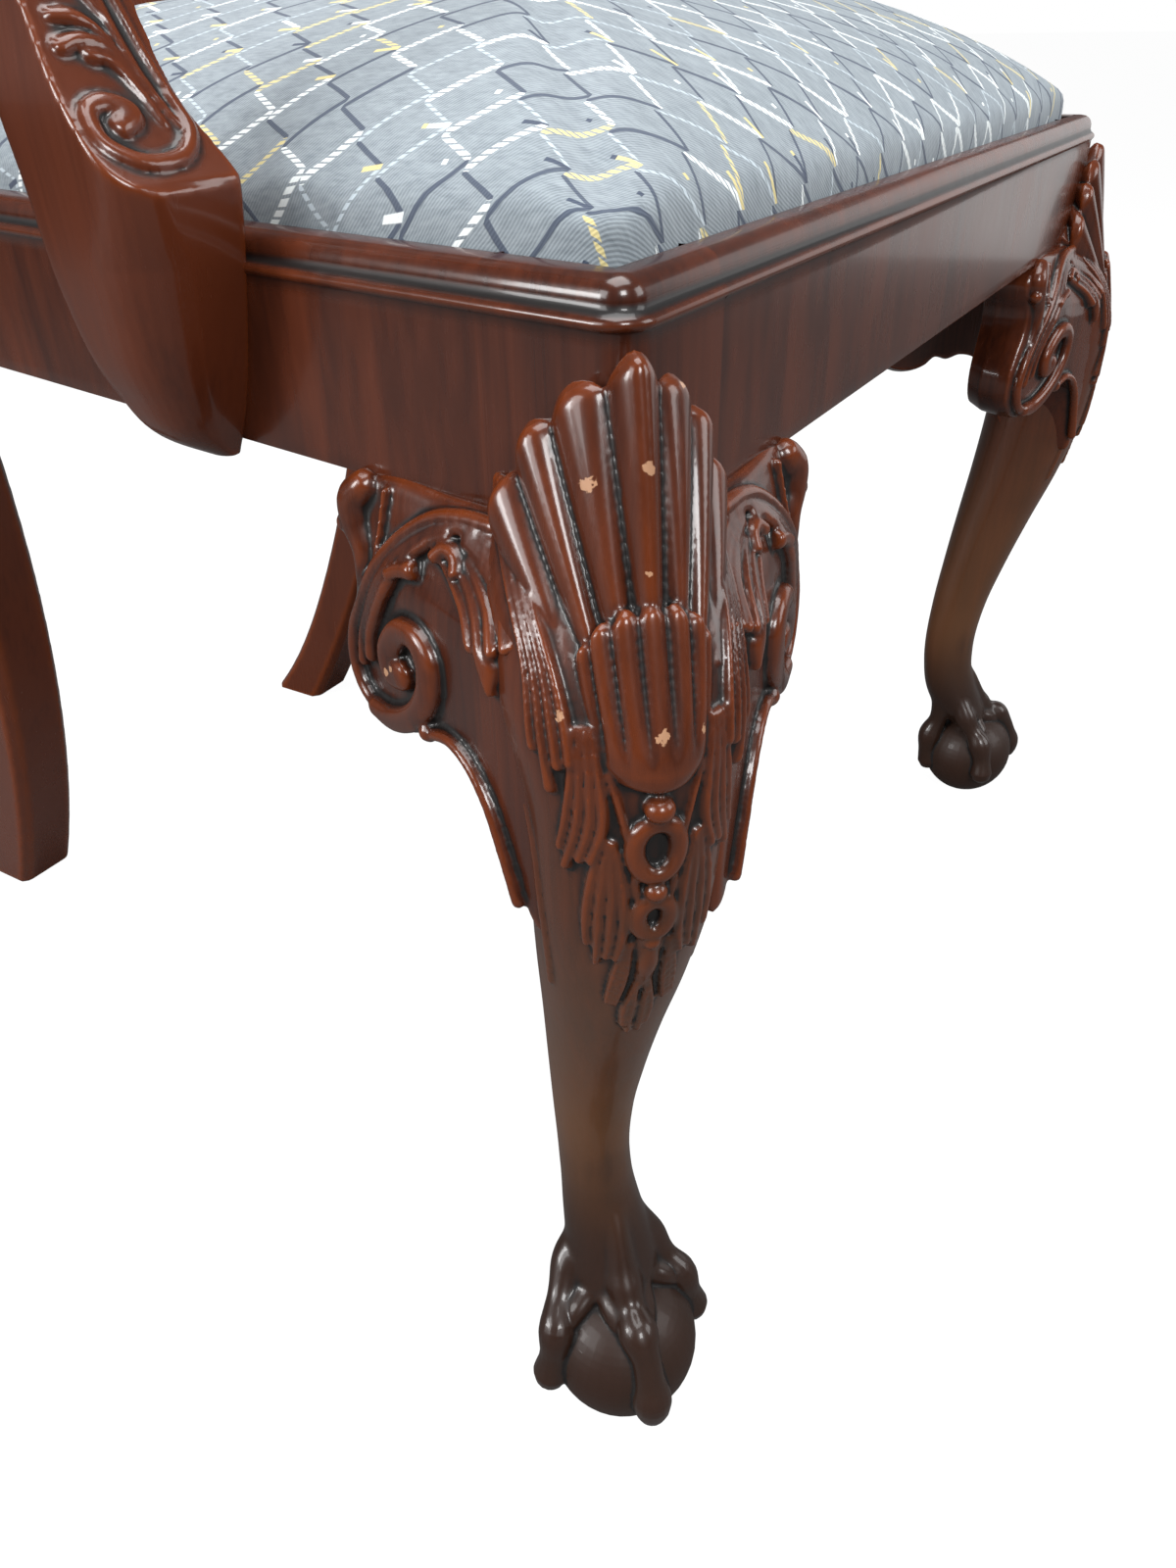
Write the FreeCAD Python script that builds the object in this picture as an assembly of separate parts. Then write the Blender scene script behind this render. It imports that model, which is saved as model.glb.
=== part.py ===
"""Carved open armchair with a pierced splat back, cabriole front legs and a drop-in seat.

Millimetres, +Z up, front towards -Y, right and left as the sitter has them (right is -X).
The model is drawn with the front rail's outer face at Y = 0, and is moved at the end so that
the origin is on the floor, in the middle of the chair's own rectangle.
"""
import FreeCAD
import Part
import math
import os
from FreeCAD import Vector

# Seat frame
SEAT_FRONT_WIDTH = 544.0
SEAT_DEPTH = 460.0
SEAT_TAPER = 9.0
RAIL_BOTTOM = 383.0
RAIL_HEIGHT = 63.0
RAIL_THICKNESS = 32.0
RAIL_CORNER_ROUND = 9.0
MOULDING_HEIGHT = 11.0
MOULDING_LIP = 1.2
LIP_HEIGHT = 2.5
MOULDING_ROUND = 7.5
REBATE_WALL = 12.0
REBATE_DEPTH = 17.0
TENON_THICKNESS = 12.0
TENON_SHOULDER = 9.0
TENON_LENGTH = 24.0
TENON_CLEARANCE = 0.1

# Front legs
LEG_POST = 50.0
KNEE_HEIGHT = 310.0
KNEE_CENTRE = -1.0
KNEE_ALONG = 31.0
KNEE_ACROSS = 29.0
LEG_TOP_CENTRE = -27.0
LEG_TOP_RADIUS = 41.0
ANKLE_HEIGHT = 120.0
ANKLE_CENTRE = -34.0
ANKLE_ALONG = 17.2
ANKLE_ACROSS = 14.6
BALL_RADIUS = 32.5
BALL_HEIGHT = 30.0
BALL_CENTRE = -4.0
CLAW_COUNT = 4
CLAW_RADIUS = 8.0

# Shell carved on each knee
SHELL_FLUTES = 7
SHELL_TOP = 427.0
SHELL_DROP = 24.0
SHELL_HALF_WIDTH = 31.0
SHELL_FLUTE_RADIUS = 6.2
SHELL_BOTTOM = 336.0
CUP_TOP = 376.0
CUP_HALF_WIDTH = 17.0
CUP_PROUD = 7.0

# Scrolled brackets beside the knees
BRACKET_REACH = 107.0
BRACKET_DROP = 78.0
BRACKET_BACK = 28.0
BRACKET_BULGE = 20.0
VOLUTE_RADIUS = 15.0
VOLUTE_PROUD = 4.0

# Back posts, each one piece with its rear leg
POST_WIDTH = 40.0
POST_DEPTH = 40.0
POST_CHAMFER = 5.0
REAR_FOOT_INSET = 35.0
REAR_FOOT_RAKE = 112.0
REAR_FOOT_SWEEP = 2.0
REAR_FOOT_FLARE = 8.0
BACK_HEIGHT = 925.0
BACK_RAKE = 92.0
BACK_FLARE = 34.0
POST_TOP_WIDTH = 36.0
POST_TOP_DEPTH = 25.0

# Crest rail, splat and shoe
CREST_TILT = 12.0
CREST_THICKNESS = 28.0
CREST_HALF_WIDTH = 262.0
CREST_RISE = 78.0
CREST_ARCH = 22.0
POST_TENON = 20.0
SPLAT_THICKNESS = 12.0
SPLAT_BASE_HALF_WIDTH = 72.0
SPLAT_TOP_HALF_WIDTH = 116.0
SPLAT_TENON = 10.0
BACK_RAIL_THICKNESS = 34.0
SHOE_HEIGHT = 22.0
SHOE_LENGTH = 196.0
SHOE_DEPTH = 30.0
SHOE_SLOPE = 5.0

# Arms and their supports
SUPPORT_SETBACK = 136.0
SUPPORT_PROUD = 38.0
SUPPORT_LENGTH = 46.0
SUPPORT_HOUSING = 10.0
SUPPORT_KNEE = 460.0
ARM_HEIGHT = 684.0
ARM_WIDTH = 42.0
ARM_THICKNESS = 28.0
ARM_OVERHANG = 48.0
ARM_REAR_WIDTH = 30.0
ARM_RISE = 26.0
ARM_SCROLL_RADIUS = 23.0
ARM_SCROLL_WIDTH = 46.0
ARM_SCROLL_LIFT = 2.0
ARM_EYE_PROUD = 3.0
SUPPORT_TENON_RADIUS = 8.0
SUPPORT_TENON_LENGTH = 16.0

# Drop-in seat
SEAT_GAP = 1.5
COVER_THICKNESS = 1.2
SEAT_RAIL_WIDTH = 54.0
SEAT_RAIL_THICKNESS = 18.0
WEBBING_THICKNESS = 1.5
WEBBING_WIDTH = 50.0
WEBBING_COUNT = 4
HESSIAN_THICKNESS = 0.8
CUSHION_CROWN = 44.0
CUSHION_SIDE = 14.0
CUSHION_CORNER = 26.0
SOFT_GAP = 0.3
DUST_COVER_THICKNESS = 0.8
DOWEL_RADIUS = 4.0
DOWEL_LENGTH = 44.0
TACK_PITCH = 62.0
TACK_HEAD_RADIUS = 4.5
TACK_HEAD_THICKNESS = 1.0
TACK_SHANK_RADIUS = 1.0
TACK_LENGTH = 11.0
TACK_MARGIN = 1.5

# Blocks and screws
BLOCK_LEG = 62.0
BLOCK_HEIGHT = 38.0
BLOCK_TOP_GAP = 4.0
SCREW_RADIUS = 2.2
SCREW_HEAD_RADIUS = 4.2
SCREW_HEAD_HEIGHT = 3.0
SCREW_BITE = 16.0
SCREW_CLEARANCE = 0.1
PLUG_RADIUS = 6.0
PLUG_LENGTH = 6.0

# Worked-out places
HALF_WIDTH = SEAT_FRONT_WIDTH / 2
TAPER = math.radians(SEAT_TAPER)
RAIL_TOP = RAIL_BOTTOM + RAIL_HEIGHT
MOULDING_BOTTOM = RAIL_TOP - MOULDING_HEIGHT
REBATE = RAIL_TOP - REBATE_DEPTH
POST_FRONT = SEAT_DEPTH - POST_DEPTH
POST_CENTRE_Y = SEAT_DEPTH - POST_DEPTH / 2
DIAGONAL = math.sqrt(0.5)
UP = Vector(0, 0, 1)


def side_x(y, inset=0.0):
    """X of the right side rail's outer face at depth y, moved in by inset."""
    return -(HALF_WIDTH - y * math.tan(TAPER) - inset / math.cos(TAPER))


def line(start, end):
    return Part.LineSegment(start, end).toShape()


def spline(points):
    curve = Part.BSplineCurve()
    curve.interpolate(points)
    return curve.toShape()


def ring(points):
    """A smooth closed wire through the points."""
    curve = Part.BSplineCurve()
    curve.interpolate(Points=points, PeriodicFlag=True)
    return Part.Wire(curve.toShape())


def outline(strokes):
    """A closed face; a stroke of two points is straight, a longer one is a smooth curve."""
    edges = []
    for stroke in strokes:
        edges.append(line(*stroke) if len(stroke) == 2 else spline(stroke))
    return Part.Face(Part.Wire(Part.sortEdges(edges)[0]))


def prism(plan, bottom, top):
    """An upright prism over a plan of (x, y) points."""
    points = [Vector(x, y, bottom) for x, y in plan]
    face = Part.Face(Part.makePolygon(points + points[:1]))
    return face.extrude(Vector(0, 0, top - bottom))


def block(x_range, y_range, z_range):
    size = [high - low for low, high in (x_range, y_range, z_range)]
    return Part.makeBox(*size, Vector(x_range[0], y_range[0], z_range[0]))


def joined(shapes):
    """One solid from shapes that overlap, added one after another."""
    whole = shapes[0]
    for shape in shapes[1:]:
        whole = whole.fuse(shape)
    return whole


def fused(shapes):
    """One solid from flat-sided shapes, with the faces that lie in one plane made one."""
    return joined(shapes).removeSplitter()


def without_offcuts(shape):
    """The main solid that is left after a cut."""
    return max(shape.Solids, key=lambda solid: solid.Volume)


def mirrored(shape):
    """The left-hand twin of a right-hand piece."""
    return shape.mirror(Vector(0, 0, 0), Vector(1, 0, 0))


def blend(low, high, share):
    """Smooth change from low to high, level at both ends."""
    eased = share * share * (3 - 2 * share)
    return low + (high - low) * eased


def at_side(along, out, height):
    """A point beside the right side rail: along it from the corner, out from its face."""
    x = -HALF_WIDTH + along * math.sin(TAPER) - out * math.cos(TAPER)
    y = along * math.cos(TAPER) + out * math.sin(TAPER)
    return Vector(x, y, height)


def at_front(along, out, height):
    """A point beside the front rail: along it from the right corner, out from its face."""
    return Vector(-HALF_WIDTH + along, -out, height)


def at_knee(out, across, height):
    """A point by the right front corner: out along its diagonal, across it, and its height."""
    return Vector(-HALF_WIDTH - (out + across) * DIAGONAL, (across - out) * DIAGONAL, height)


def seat_plan(inset, rear_inset, depth):
    """The seat's tapered plan, drawn in from the front and side faces and from the depth."""
    rear = depth - rear_inset
    return [(side_x(inset, inset), inset), (-side_x(inset, inset), inset),
            (-side_x(rear, inset), rear), (side_x(rear, inset), rear)]


def rounded(shape, radius, chosen):
    return shape.makeFillet(radius, [edge for edge in shape.Edges if chosen(edge)])


def is_front_upright(edge):
    box = edge.BoundBox
    return box.ZLength > 1 and box.XLength < 1e-3 and box.YLength < 1e-3 and box.YMax < LEG_POST


def moulded_seat_slab():
    """The four rails' common outside, with the lip moulding and the rebate for the seat."""
    body = prism(seat_plan(0, 0, SEAT_DEPTH), RAIL_BOTTOM, MOULDING_BOTTOM)
    lip_top = MOULDING_BOTTOM + LIP_HEIGHT
    lip = prism(seat_plan(-MOULDING_LIP, 0, SEAT_DEPTH), MOULDING_BOTTOM, lip_top)
    cap = prism(seat_plan(0, 0, SEAT_DEPTH), lip_top, RAIL_TOP)
    layers = [rounded(layer, RAIL_CORNER_ROUND, is_front_upright) for layer in (body, lip, cap)]
    layers[2] = rounded(layers[2], MOULDING_ROUND, lambda edge: edge.BoundBox.ZMin > RAIL_TOP - 0.01)
    pocket = prism(seat_plan(REBATE_WALL, 0, POST_FRONT), REBATE, RAIL_TOP + 1)
    return fused(layers).cut(pocket)


def tenon_heights(grow):
    return RAIL_BOTTOM + TENON_SHOULDER - grow, REBATE - TENON_SHOULDER + grow


def front_tenon(grow):
    """The front rail's right tenon, or its mortise when grown by a clearance."""
    middle = RAIL_THICKNESS / 2
    corner = -HALF_WIDTH + LEG_POST
    return block((corner - TENON_LENGTH - grow, corner),
                 (middle - TENON_THICKNESS / 2 - grow, middle + TENON_THICKNESS / 2 + grow),
                 tenon_heights(grow))


def side_tenon(shoulder, direction, grow):
    """A tenon on the right side rail, from its shoulder's depth towards the front or the rear."""
    outer = RAIL_THICKNESS / 2 - TENON_THICKNESS / 2 - grow
    inner = RAIL_THICKNESS / 2 + TENON_THICKNESS / 2 + grow
    tip = shoulder + direction * (TENON_LENGTH + grow)
    plan = [(side_x(shoulder, outer), shoulder), (side_x(shoulder, inner), shoulder),
            (side_x(tip, inner), tip), (side_x(tip, outer), tip)]
    return prism(plan, *tenon_heights(grow))


def post_outer_x():
    return side_x(POST_FRONT)


def post_inner_x():
    return post_outer_x() + POST_WIDTH


def back_tenon(grow):
    """The back rail's right tenon, which enters the inner face of the back post."""
    middle = POST_FRONT + BACK_RAIL_THICKNESS / 2
    low, high = tenon_heights(grow)
    return block((post_inner_x() - TENON_LENGTH / 2 - grow, post_inner_x()),
                 (middle - TENON_THICKNESS / 2 - grow, middle + TENON_THICKNESS / 2 + grow),
                 (low, high))


def front_rail(slab):
    inner = HALF_WIDTH - LEG_POST
    bar = slab.common(block((-inner, inner), (-MOULDING_LIP - 1, RAIL_THICKNESS), (RAIL_BOTTOM, RAIL_TOP)))
    right = front_tenon(0)
    return fused([bar, right, mirrored(right)])


def side_rail(slab):
    outer = -MOULDING_LIP - 1
    plan = [(side_x(LEG_POST, outer), LEG_POST), (side_x(LEG_POST, RAIL_THICKNESS), LEG_POST),
            (side_x(POST_FRONT, RAIL_THICKNESS), POST_FRONT), (side_x(POST_FRONT, outer), POST_FRONT)]
    bar = slab.common(prism(plan, RAIL_BOTTOM, RAIL_TOP))
    return fused([bar, side_tenon(LEG_POST, -1, 0), side_tenon(POST_FRONT, 1, 0)])


def back_rail():
    """The back rail, with the ledge in front of it that the seat's rear edge lies on."""
    rear = POST_FRONT + BACK_RAIL_THICKNESS
    bar = block((post_inner_x(), -post_inner_x()), (POST_FRONT, rear), (RAIL_BOTTOM, RAIL_TOP))
    front = POST_FRONT - (RAIL_THICKNESS - REBATE_WALL)
    plan = [(side_x(front, RAIL_THICKNESS), front), (-side_x(front, RAIL_THICKNESS), front),
            (-side_x(POST_FRONT, RAIL_THICKNESS), POST_FRONT),
            (side_x(POST_FRONT, RAIL_THICKNESS), POST_FRONT)]
    ledge = prism(plan, RAIL_BOTTOM, REBATE)
    right = back_tenon(0)
    return fused([bar, ledge, right, mirrored(right)])


def knee_ring(height, centre, along, across):
    """One oval section of the cabriole leg."""
    count = 12
    points = []
    for step in range(count):
        angle = 2 * math.pi * step / count
        points.append(at_knee(centre + along * math.cos(angle), across * math.sin(angle), height))
    return ring(points)


def cabriole():
    """The leg's S-curve, from the underside of the rails down into the ball."""
    sections = [knee_ring(RAIL_BOTTOM, LEG_TOP_CENTRE, LEG_TOP_RADIUS, LEG_TOP_RADIUS)]
    upper = (RAIL_BOTTOM + KNEE_HEIGHT) / 2
    sections.append(knee_ring(upper, blend(LEG_TOP_CENTRE, KNEE_CENTRE, 0.6),
                              blend(LEG_TOP_RADIUS, KNEE_ALONG, 0.5),
                              blend(LEG_TOP_RADIUS, KNEE_ACROSS, 0.4)))
    steps = 6
    for step in range(steps + 1):
        share = step / steps
        sections.append(knee_ring(KNEE_HEIGHT + (ANKLE_HEIGHT - KNEE_HEIGHT) * share,
                                  blend(KNEE_CENTRE, ANKLE_CENTRE, share),
                                  blend(KNEE_ALONG, ANKLE_ALONG, share),
                                  blend(KNEE_ACROSS, ANKLE_ACROSS, share)))
    steps = 3
    for step in range(1, steps + 1):
        share = step / steps
        size = BALL_RADIUS * 0.68
        sections.append(knee_ring(ANKLE_HEIGHT + (BALL_HEIGHT * 1.7 - ANKLE_HEIGHT) * share,
                                  blend(ANKLE_CENTRE, BALL_CENTRE, share),
                                  blend(ANKLE_ALONG, size, share), blend(ANKLE_ACROSS, size, share)))
    return Part.makeLoft(sections, True, False)


def claw(angle):
    """One talon, with two knuckles, hugging the ball at an angle round it."""
    ball_top = BALL_HEIGHT + BALL_RADIUS
    stations = [(0.25, ball_top + 22, 0.7), (0.5, ball_top + 7, 0.95), (0.72, ball_top - 4, 0.85),
                (0.88, BALL_HEIGHT + 17, 1.0), (1.0, BALL_HEIGHT + 6, 0.85), (1.02, BALL_HEIGHT - 4, 0.9)]
    path = []
    for reach, height, girth in stations:
        radius = reach * BALL_RADIUS
        climb = max(0.0, (height - ball_top) / (ANKLE_HEIGHT - ball_top))
        lean = blend(0, BALL_CENTRE - ANKLE_CENTRE, climb)
        point = at_knee(BALL_CENTRE - lean + radius * math.cos(angle), radius * math.sin(angle), height)
        path.append((point, girth * CLAW_RADIUS))
    rings = []
    for index, (point, girth) in enumerate(path):
        ahead = path[min(index + 1, len(path) - 1)][0]
        behind = path[max(index - 1, 0)][0]
        rings.append(Part.Wire(Part.makeCircle(girth, point, ahead - behind)))
    return Part.makeLoft(rings, True, False)


def flute(top, bottom, radius):
    """One rounded rib of the shell, narrowing from its round end at the top."""
    axis = bottom - top
    cone = Part.makeCone(radius, radius * 0.45, axis.Length, top, axis)
    return cone.fuse(Part.makeSphere(radius, top))


def shell():
    """Two tiers of ribs that fan up the corner of the knee."""
    ribs = []
    last = (SHELL_FLUTES - 1) / 2
    slope = (KNEE_CENTRE + KNEE_ALONG) / (SHELL_TOP - SHELL_BOTTOM)
    for index in range(SHELL_FLUTES):
        share = (index - last) / last
        across = SHELL_HALF_WIDTH * share
        top = at_knee(-0.9 * abs(across), across, SHELL_TOP - SHELL_DROP * share * share)
        foot = at_knee(KNEE_CENTRE + KNEE_ALONG - 0.7 * abs(across) * 0.4, across * 0.4, SHELL_BOTTOM)
        ribs.append(flute(top, foot, SHELL_FLUTE_RADIUS))
        across = CUP_HALF_WIDTH * share
        out = slope * (SHELL_TOP - CUP_TOP) + CUP_PROUD
        top = at_knee(out - 0.7 * abs(across), across, CUP_TOP - SHELL_DROP * 0.5 * share * share)
        out = KNEE_CENTRE + KNEE_ALONG + CUP_PROUD / 2 - 0.25 * abs(across)
        foot = at_knee(out, across * 0.5, SHELL_BOTTOM - 2)
        ribs.append(flute(top, foot, SHELL_FLUTE_RADIUS * 0.7))
    return ribs


def front_leg(slab):
    """The right front leg: corner post, cabriole leg, carved shell, and ball-and-claw foot."""
    outside = 2 * MOULDING_LIP
    corner = block((-HALF_WIDTH - outside, -HALF_WIDTH + LEG_POST), (-outside, LEG_POST), (RAIL_BOTTOM, RAIL_TOP))
    post = slab.common(corner)
    ball = Part.makeSphere(BALL_RADIUS, at_knee(BALL_CENTRE, 0, BALL_HEIGHT))
    claws = [claw(2 * math.pi * index / CLAW_COUNT) for index in range(CLAW_COUNT)]
    whole = joined([post, cabriole(), ball] + claws + shell())
    below_floor = block((-2 * HALF_WIDTH, 0), (-SEAT_DEPTH, SEAT_DEPTH), (-BALL_RADIUS, 0))
    mortises = [front_tenon(TENON_CLEARANCE), side_tenon(LEG_POST, -1, TENON_CLEARANCE)]
    return whole.cut(below_floor).cut(mortises[0]).cut(mortises[1])


def knee_bracket(place, leg):
    """A scrolled ear glued to the leg under a rail; place maps (along, out, height)."""
    root = LEG_POST * 0.5
    low = RAIL_BOTTOM - BRACKET_DROP
    reach = BRACKET_REACH
    back = -BRACKET_BACK
    def side(along, height):
        return place(along, back, height)
    lump = [side(reach, RAIL_BOTTOM), side(reach + 2, RAIL_BOTTOM - 6), side(reach - 3, RAIL_BOTTOM - 12),
            side(reach - 10, RAIL_BOTTOM - 22), side(reach - 9, RAIL_BOTTOM - 34),
            side(reach - 3, low + 32), side(reach - 6, low + 14), side(reach - 22, low),
            side(reach - 36, low + 7)]
    under = [side(reach - 36, low + 7), side(reach - 48, low + 2), side(reach - 60, low - 10),
             side(reach - 70, low - 26), side(root, low - 46)]
    face = outline([(side(root, RAIL_BOTTOM), side(reach, RAIL_BOTTOM)), lump, under,
                    (side(root, low - 46), side(root, RAIL_BOTTOM))])
    outward = place(0, 1, 0) - place(0, 0, 0)
    full = face.extrude(outward * (BRACKET_BACK + 2 * BRACKET_BULGE))
    bottom = low - 60
    def plan(along, out):
        return place(along, out, bottom)
    swell = [plan(root, BRACKET_BULGE + 6), plan(LEG_POST, BRACKET_BULGE),
             plan(reach - 30, BRACKET_BULGE * 0.65), plan(reach + 6, 2)]
    shadow = outline([swell, (plan(reach + 6, 2), plan(reach + 6, back)),
                      (plan(reach + 6, back), plan(root, back)), (plan(root, back), swell[0])])
    ear = full.common(shadow.extrude(Vector(0, 0, RAIL_BOTTOM - bottom)))
    eye_out = BRACKET_BULGE * 0.5
    eye = Part.makeCylinder(VOLUTE_RADIUS, eye_out + VOLUTE_PROUD, place(reach - 27, 0, low + 24), outward)
    return ear.fuse(eye).removeSplitter().cut(leg)


def post_section(centre_x, centre_y, height, width, depth):
    """A chamfered rectangle, one section of a back post."""
    half_x = width / 2
    half_y = depth / 2
    cut = POST_CHAMFER
    corners = [(-half_x + cut, -half_y), (half_x - cut, -half_y),
               (half_x, -half_y + cut), (half_x, half_y - cut),
               (half_x - cut, half_y), (-half_x + cut, half_y),
               (-half_x, half_y - cut), (-half_x, -half_y + cut)]
    points = [Vector(centre_x + x, centre_y + y, height) for x, y in corners]
    return Part.makePolygon(points + points[:1])


def post_centre_x():
    return post_outer_x() + POST_WIDTH / 2


def back_at(height):
    """Centre and size of the right back post above the seat, at a height."""
    share = max(0.0, (height - RAIL_TOP) / (BACK_HEIGHT - RAIL_TOP))
    x = post_centre_x() - BACK_FLARE * share
    y = POST_CENTRE_Y + BACK_RAKE * share ** 1.15
    width = POST_WIDTH + (POST_TOP_WIDTH - POST_WIDTH) * share
    depth = POST_DEPTH + (POST_TOP_DEPTH - POST_DEPTH) * share
    return x, y, width, depth


def back_post():
    """The right back post: raked rear leg, square joint block, and swept stile in one piece."""
    steps = 6
    lower = []
    upper = []
    for step in range(steps + 1):
        share = step / steps
        flare = REAR_FOOT_FLARE if step == steps else 0
        lower.append(post_section(post_centre_x() + REAR_FOOT_INSET * share,
                                  POST_CENTRE_Y + REAR_FOOT_RAKE * share ** REAR_FOOT_SWEEP + flare / 2,
                                  RAIL_BOTTOM * (1 - share), POST_WIDTH, POST_DEPTH + flare))
        height = RAIL_TOP + (BACK_HEIGHT - RAIL_TOP) * share
        x, y, width, depth = back_at(height)
        upper.append(post_section(x, y, height, width, depth))
    middle = Part.makeLoft([post_section(post_centre_x(), POST_CENTRE_Y, height, POST_WIDTH, POST_DEPTH)
                            for height in (RAIL_BOTTOM, RAIL_TOP)], True, True)
    x, y, width, depth = back_at(BACK_HEIGHT)
    tilt = Vector(0, math.sin(math.radians(CREST_TILT)), math.cos(math.radians(CREST_TILT)))
    corner = Vector(x - width * 0.3, y - depth * 0.25, BACK_HEIGHT)
    tenon = Part.makePlane(width * 0.6, depth * 0.5, corner).extrude(tilt * POST_TENON)
    whole = fused([Part.makeLoft(lower, True, False), middle, Part.makeLoft(upper, True, False), tenon])
    return whole.cut(side_tenon(POST_FRONT, 1, TENON_CLEARANCE)).cut(back_tenon(TENON_CLEARANCE))


def crest_point(x, rise, depth=0.0):
    """A point of the tilted crest: sideways, up its face, and back through it."""
    tilt = math.radians(CREST_TILT)
    foot = POST_CENTRE_Y + BACK_RAKE
    return Vector(x, foot + rise * math.sin(tilt) + depth * math.cos(tilt),
                  BACK_HEIGHT + rise * math.cos(tilt) - depth * math.sin(tilt))


def crest_rail():
    """The serpentine crest rail with turned-up ears."""
    front = -CREST_THICKNESS / 2
    wide = CREST_HALF_WIDTH
    ear = -back_at(BACK_HEIGHT)[0] + POST_TOP_WIDTH / 2 + 6
    root = ear - POST_TOP_WIDTH - 12
    def at(x, rise):
        return crest_point(x, rise, front)
    half_top = [(wide, 28), (wide - 12, 50), (wide - 46, 50), (wide * 0.58, 38), (wide * 0.29, 58)]
    top = [at(x, rise) for x, rise in half_top] + [at(0, CREST_RISE)]
    top += [at(-x, rise) for x, rise in reversed(half_top)]
    half_arch = [(root, 0), (root * 0.6, CREST_ARCH * 0.5)]
    arch = [at(x, rise) for x, rise in half_arch] + [at(0, CREST_ARCH)]
    arch += [at(-x, rise) for x, rise in reversed(half_arch)]
    curl = [at(wide, 28), at(wide - 10, 7), at(ear, 0)]
    other_curl = [at(-wide, 28), at(-wide + 10, 7), at(-ear, 0)]
    face = outline([top, curl, (at(ear, 0), at(root, 0)), arch, (at(-root, 0), at(-ear, 0)), other_curl])
    return face.extrude(crest_point(0, 0, CREST_THICKNESS) - crest_point(0, 0, 0))


def splat_frame():
    """Foot of the splat on the shoe, and the step to its head in the crest."""
    foot = Vector(0, POST_FRONT + SHOE_DEPTH / 2, RAIL_TOP + SHOE_HEIGHT)
    head = crest_point(0, CREST_ARCH, 0)
    return foot, head - foot


def splat_point(x, share, depth):
    foot, rise = splat_frame()
    back = Vector(0, rise.z, -rise.y).normalize()
    return foot + Vector(x, 0, 0) + rise * share + back * depth


def splat():
    """The pierced vase splat: one board, sawn through with loops, teardrops and crescents."""
    base = SPLAT_BASE_HALF_WIDTH
    crown = SPLAT_TOP_HALF_WIDTH
    foot, rise = splat_frame()
    sunk = SPLAT_TENON / rise.Length
    face_depth = -SPLAT_THICKNESS / 2
    def at(x, share):
        return splat_point(x, share, face_depth)
    waist = [(base, 0.0), (base * 0.94, 0.06), (base * 0.66, 0.15), (base * 0.72, 0.27),
             (base * 1.0, 0.40), (base * 1.07, 0.52), (base * 0.9, 0.64), (base * 0.98, 0.76),
             (crown * 0.86, 0.88), (crown, 1.0)]
    right = [at(x, share) for x, share in waist]
    left = [at(-x, share) for x, share in waist]
    low = -sunk
    high = 1 + sunk
    board = outline([(at(-base, low), at(base, low)), (at(base, low), right[0]), right,
                     (right[-1], at(crown, high)), (at(crown, high), at(-crown, high)),
                     (at(-crown, high), left[-1]), left, (left[0], at(-base, low))])
    through = splat_point(0, 0, SPLAT_THICKNESS) - splat_point(0, 0, 0)
    middle_holes = [[(0, 0.09), (0.17, 0.20), (0.10, 0.33), (0, 0.42)],
                    [(0, 0.46), (0.24, 0.52), (0, 0.585)],
                    [(0, 0.625), (0.13, 0.72), (0.27, 0.80), (0.12, 0.87), (0, 0.845)]]
    side_holes = [[(0.40, 0.14), (0.52, 0.20), (0.55, 0.29), (0.66, 0.37), (0.50, 0.36), (0.38, 0.26)],
                  [(0.42, 0.43), (0.72, 0.42), (0.86, 0.51), (0.72, 0.60), (0.42, 0.61), (0.56, 0.52)],
                  [(0.36, 0.68), (0.62, 0.66), (0.78, 0.78), (1.12, 0.90), (0.92, 0.95), (0.56, 0.82)]]
    cuts = []
    for half in middle_holes:
        loop = [(x, share) for x, share in half] + [(-x, share) for x, share in reversed(half) if x > 0]
        cuts.append(loop)
    for loop in side_holes:
        cuts.append(loop)
        cuts.append([(-x, share) for x, share in loop])
    panel = board.extrude(through)
    for loop in cuts:
        hole = Part.Face(ring([splat_point(x * base, share, face_depth * 2) for x, share in loop]))
        panel = panel.cut(hole.extrude(through * 2))
    return panel


def shoe():
    """The sloping block on the back rail that holds the splat's foot."""
    levels = []
    for height, slope in ((RAIL_TOP, 0), (RAIL_TOP + SHOE_HEIGHT, SHOE_SLOPE)):
        half = SHOE_LENGTH / 2 - 2 * slope
        front = POST_FRONT + slope * 0.4
        rear = POST_FRONT + SHOE_DEPTH - slope
        corners = [Vector(-half, front, height), Vector(half, front, height), Vector(half, rear, height),
                   Vector(-half, rear, height)]
        levels.append(Part.makePolygon(corners + corners[:1]))
    return Part.makeLoft(levels, True, True)


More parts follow.
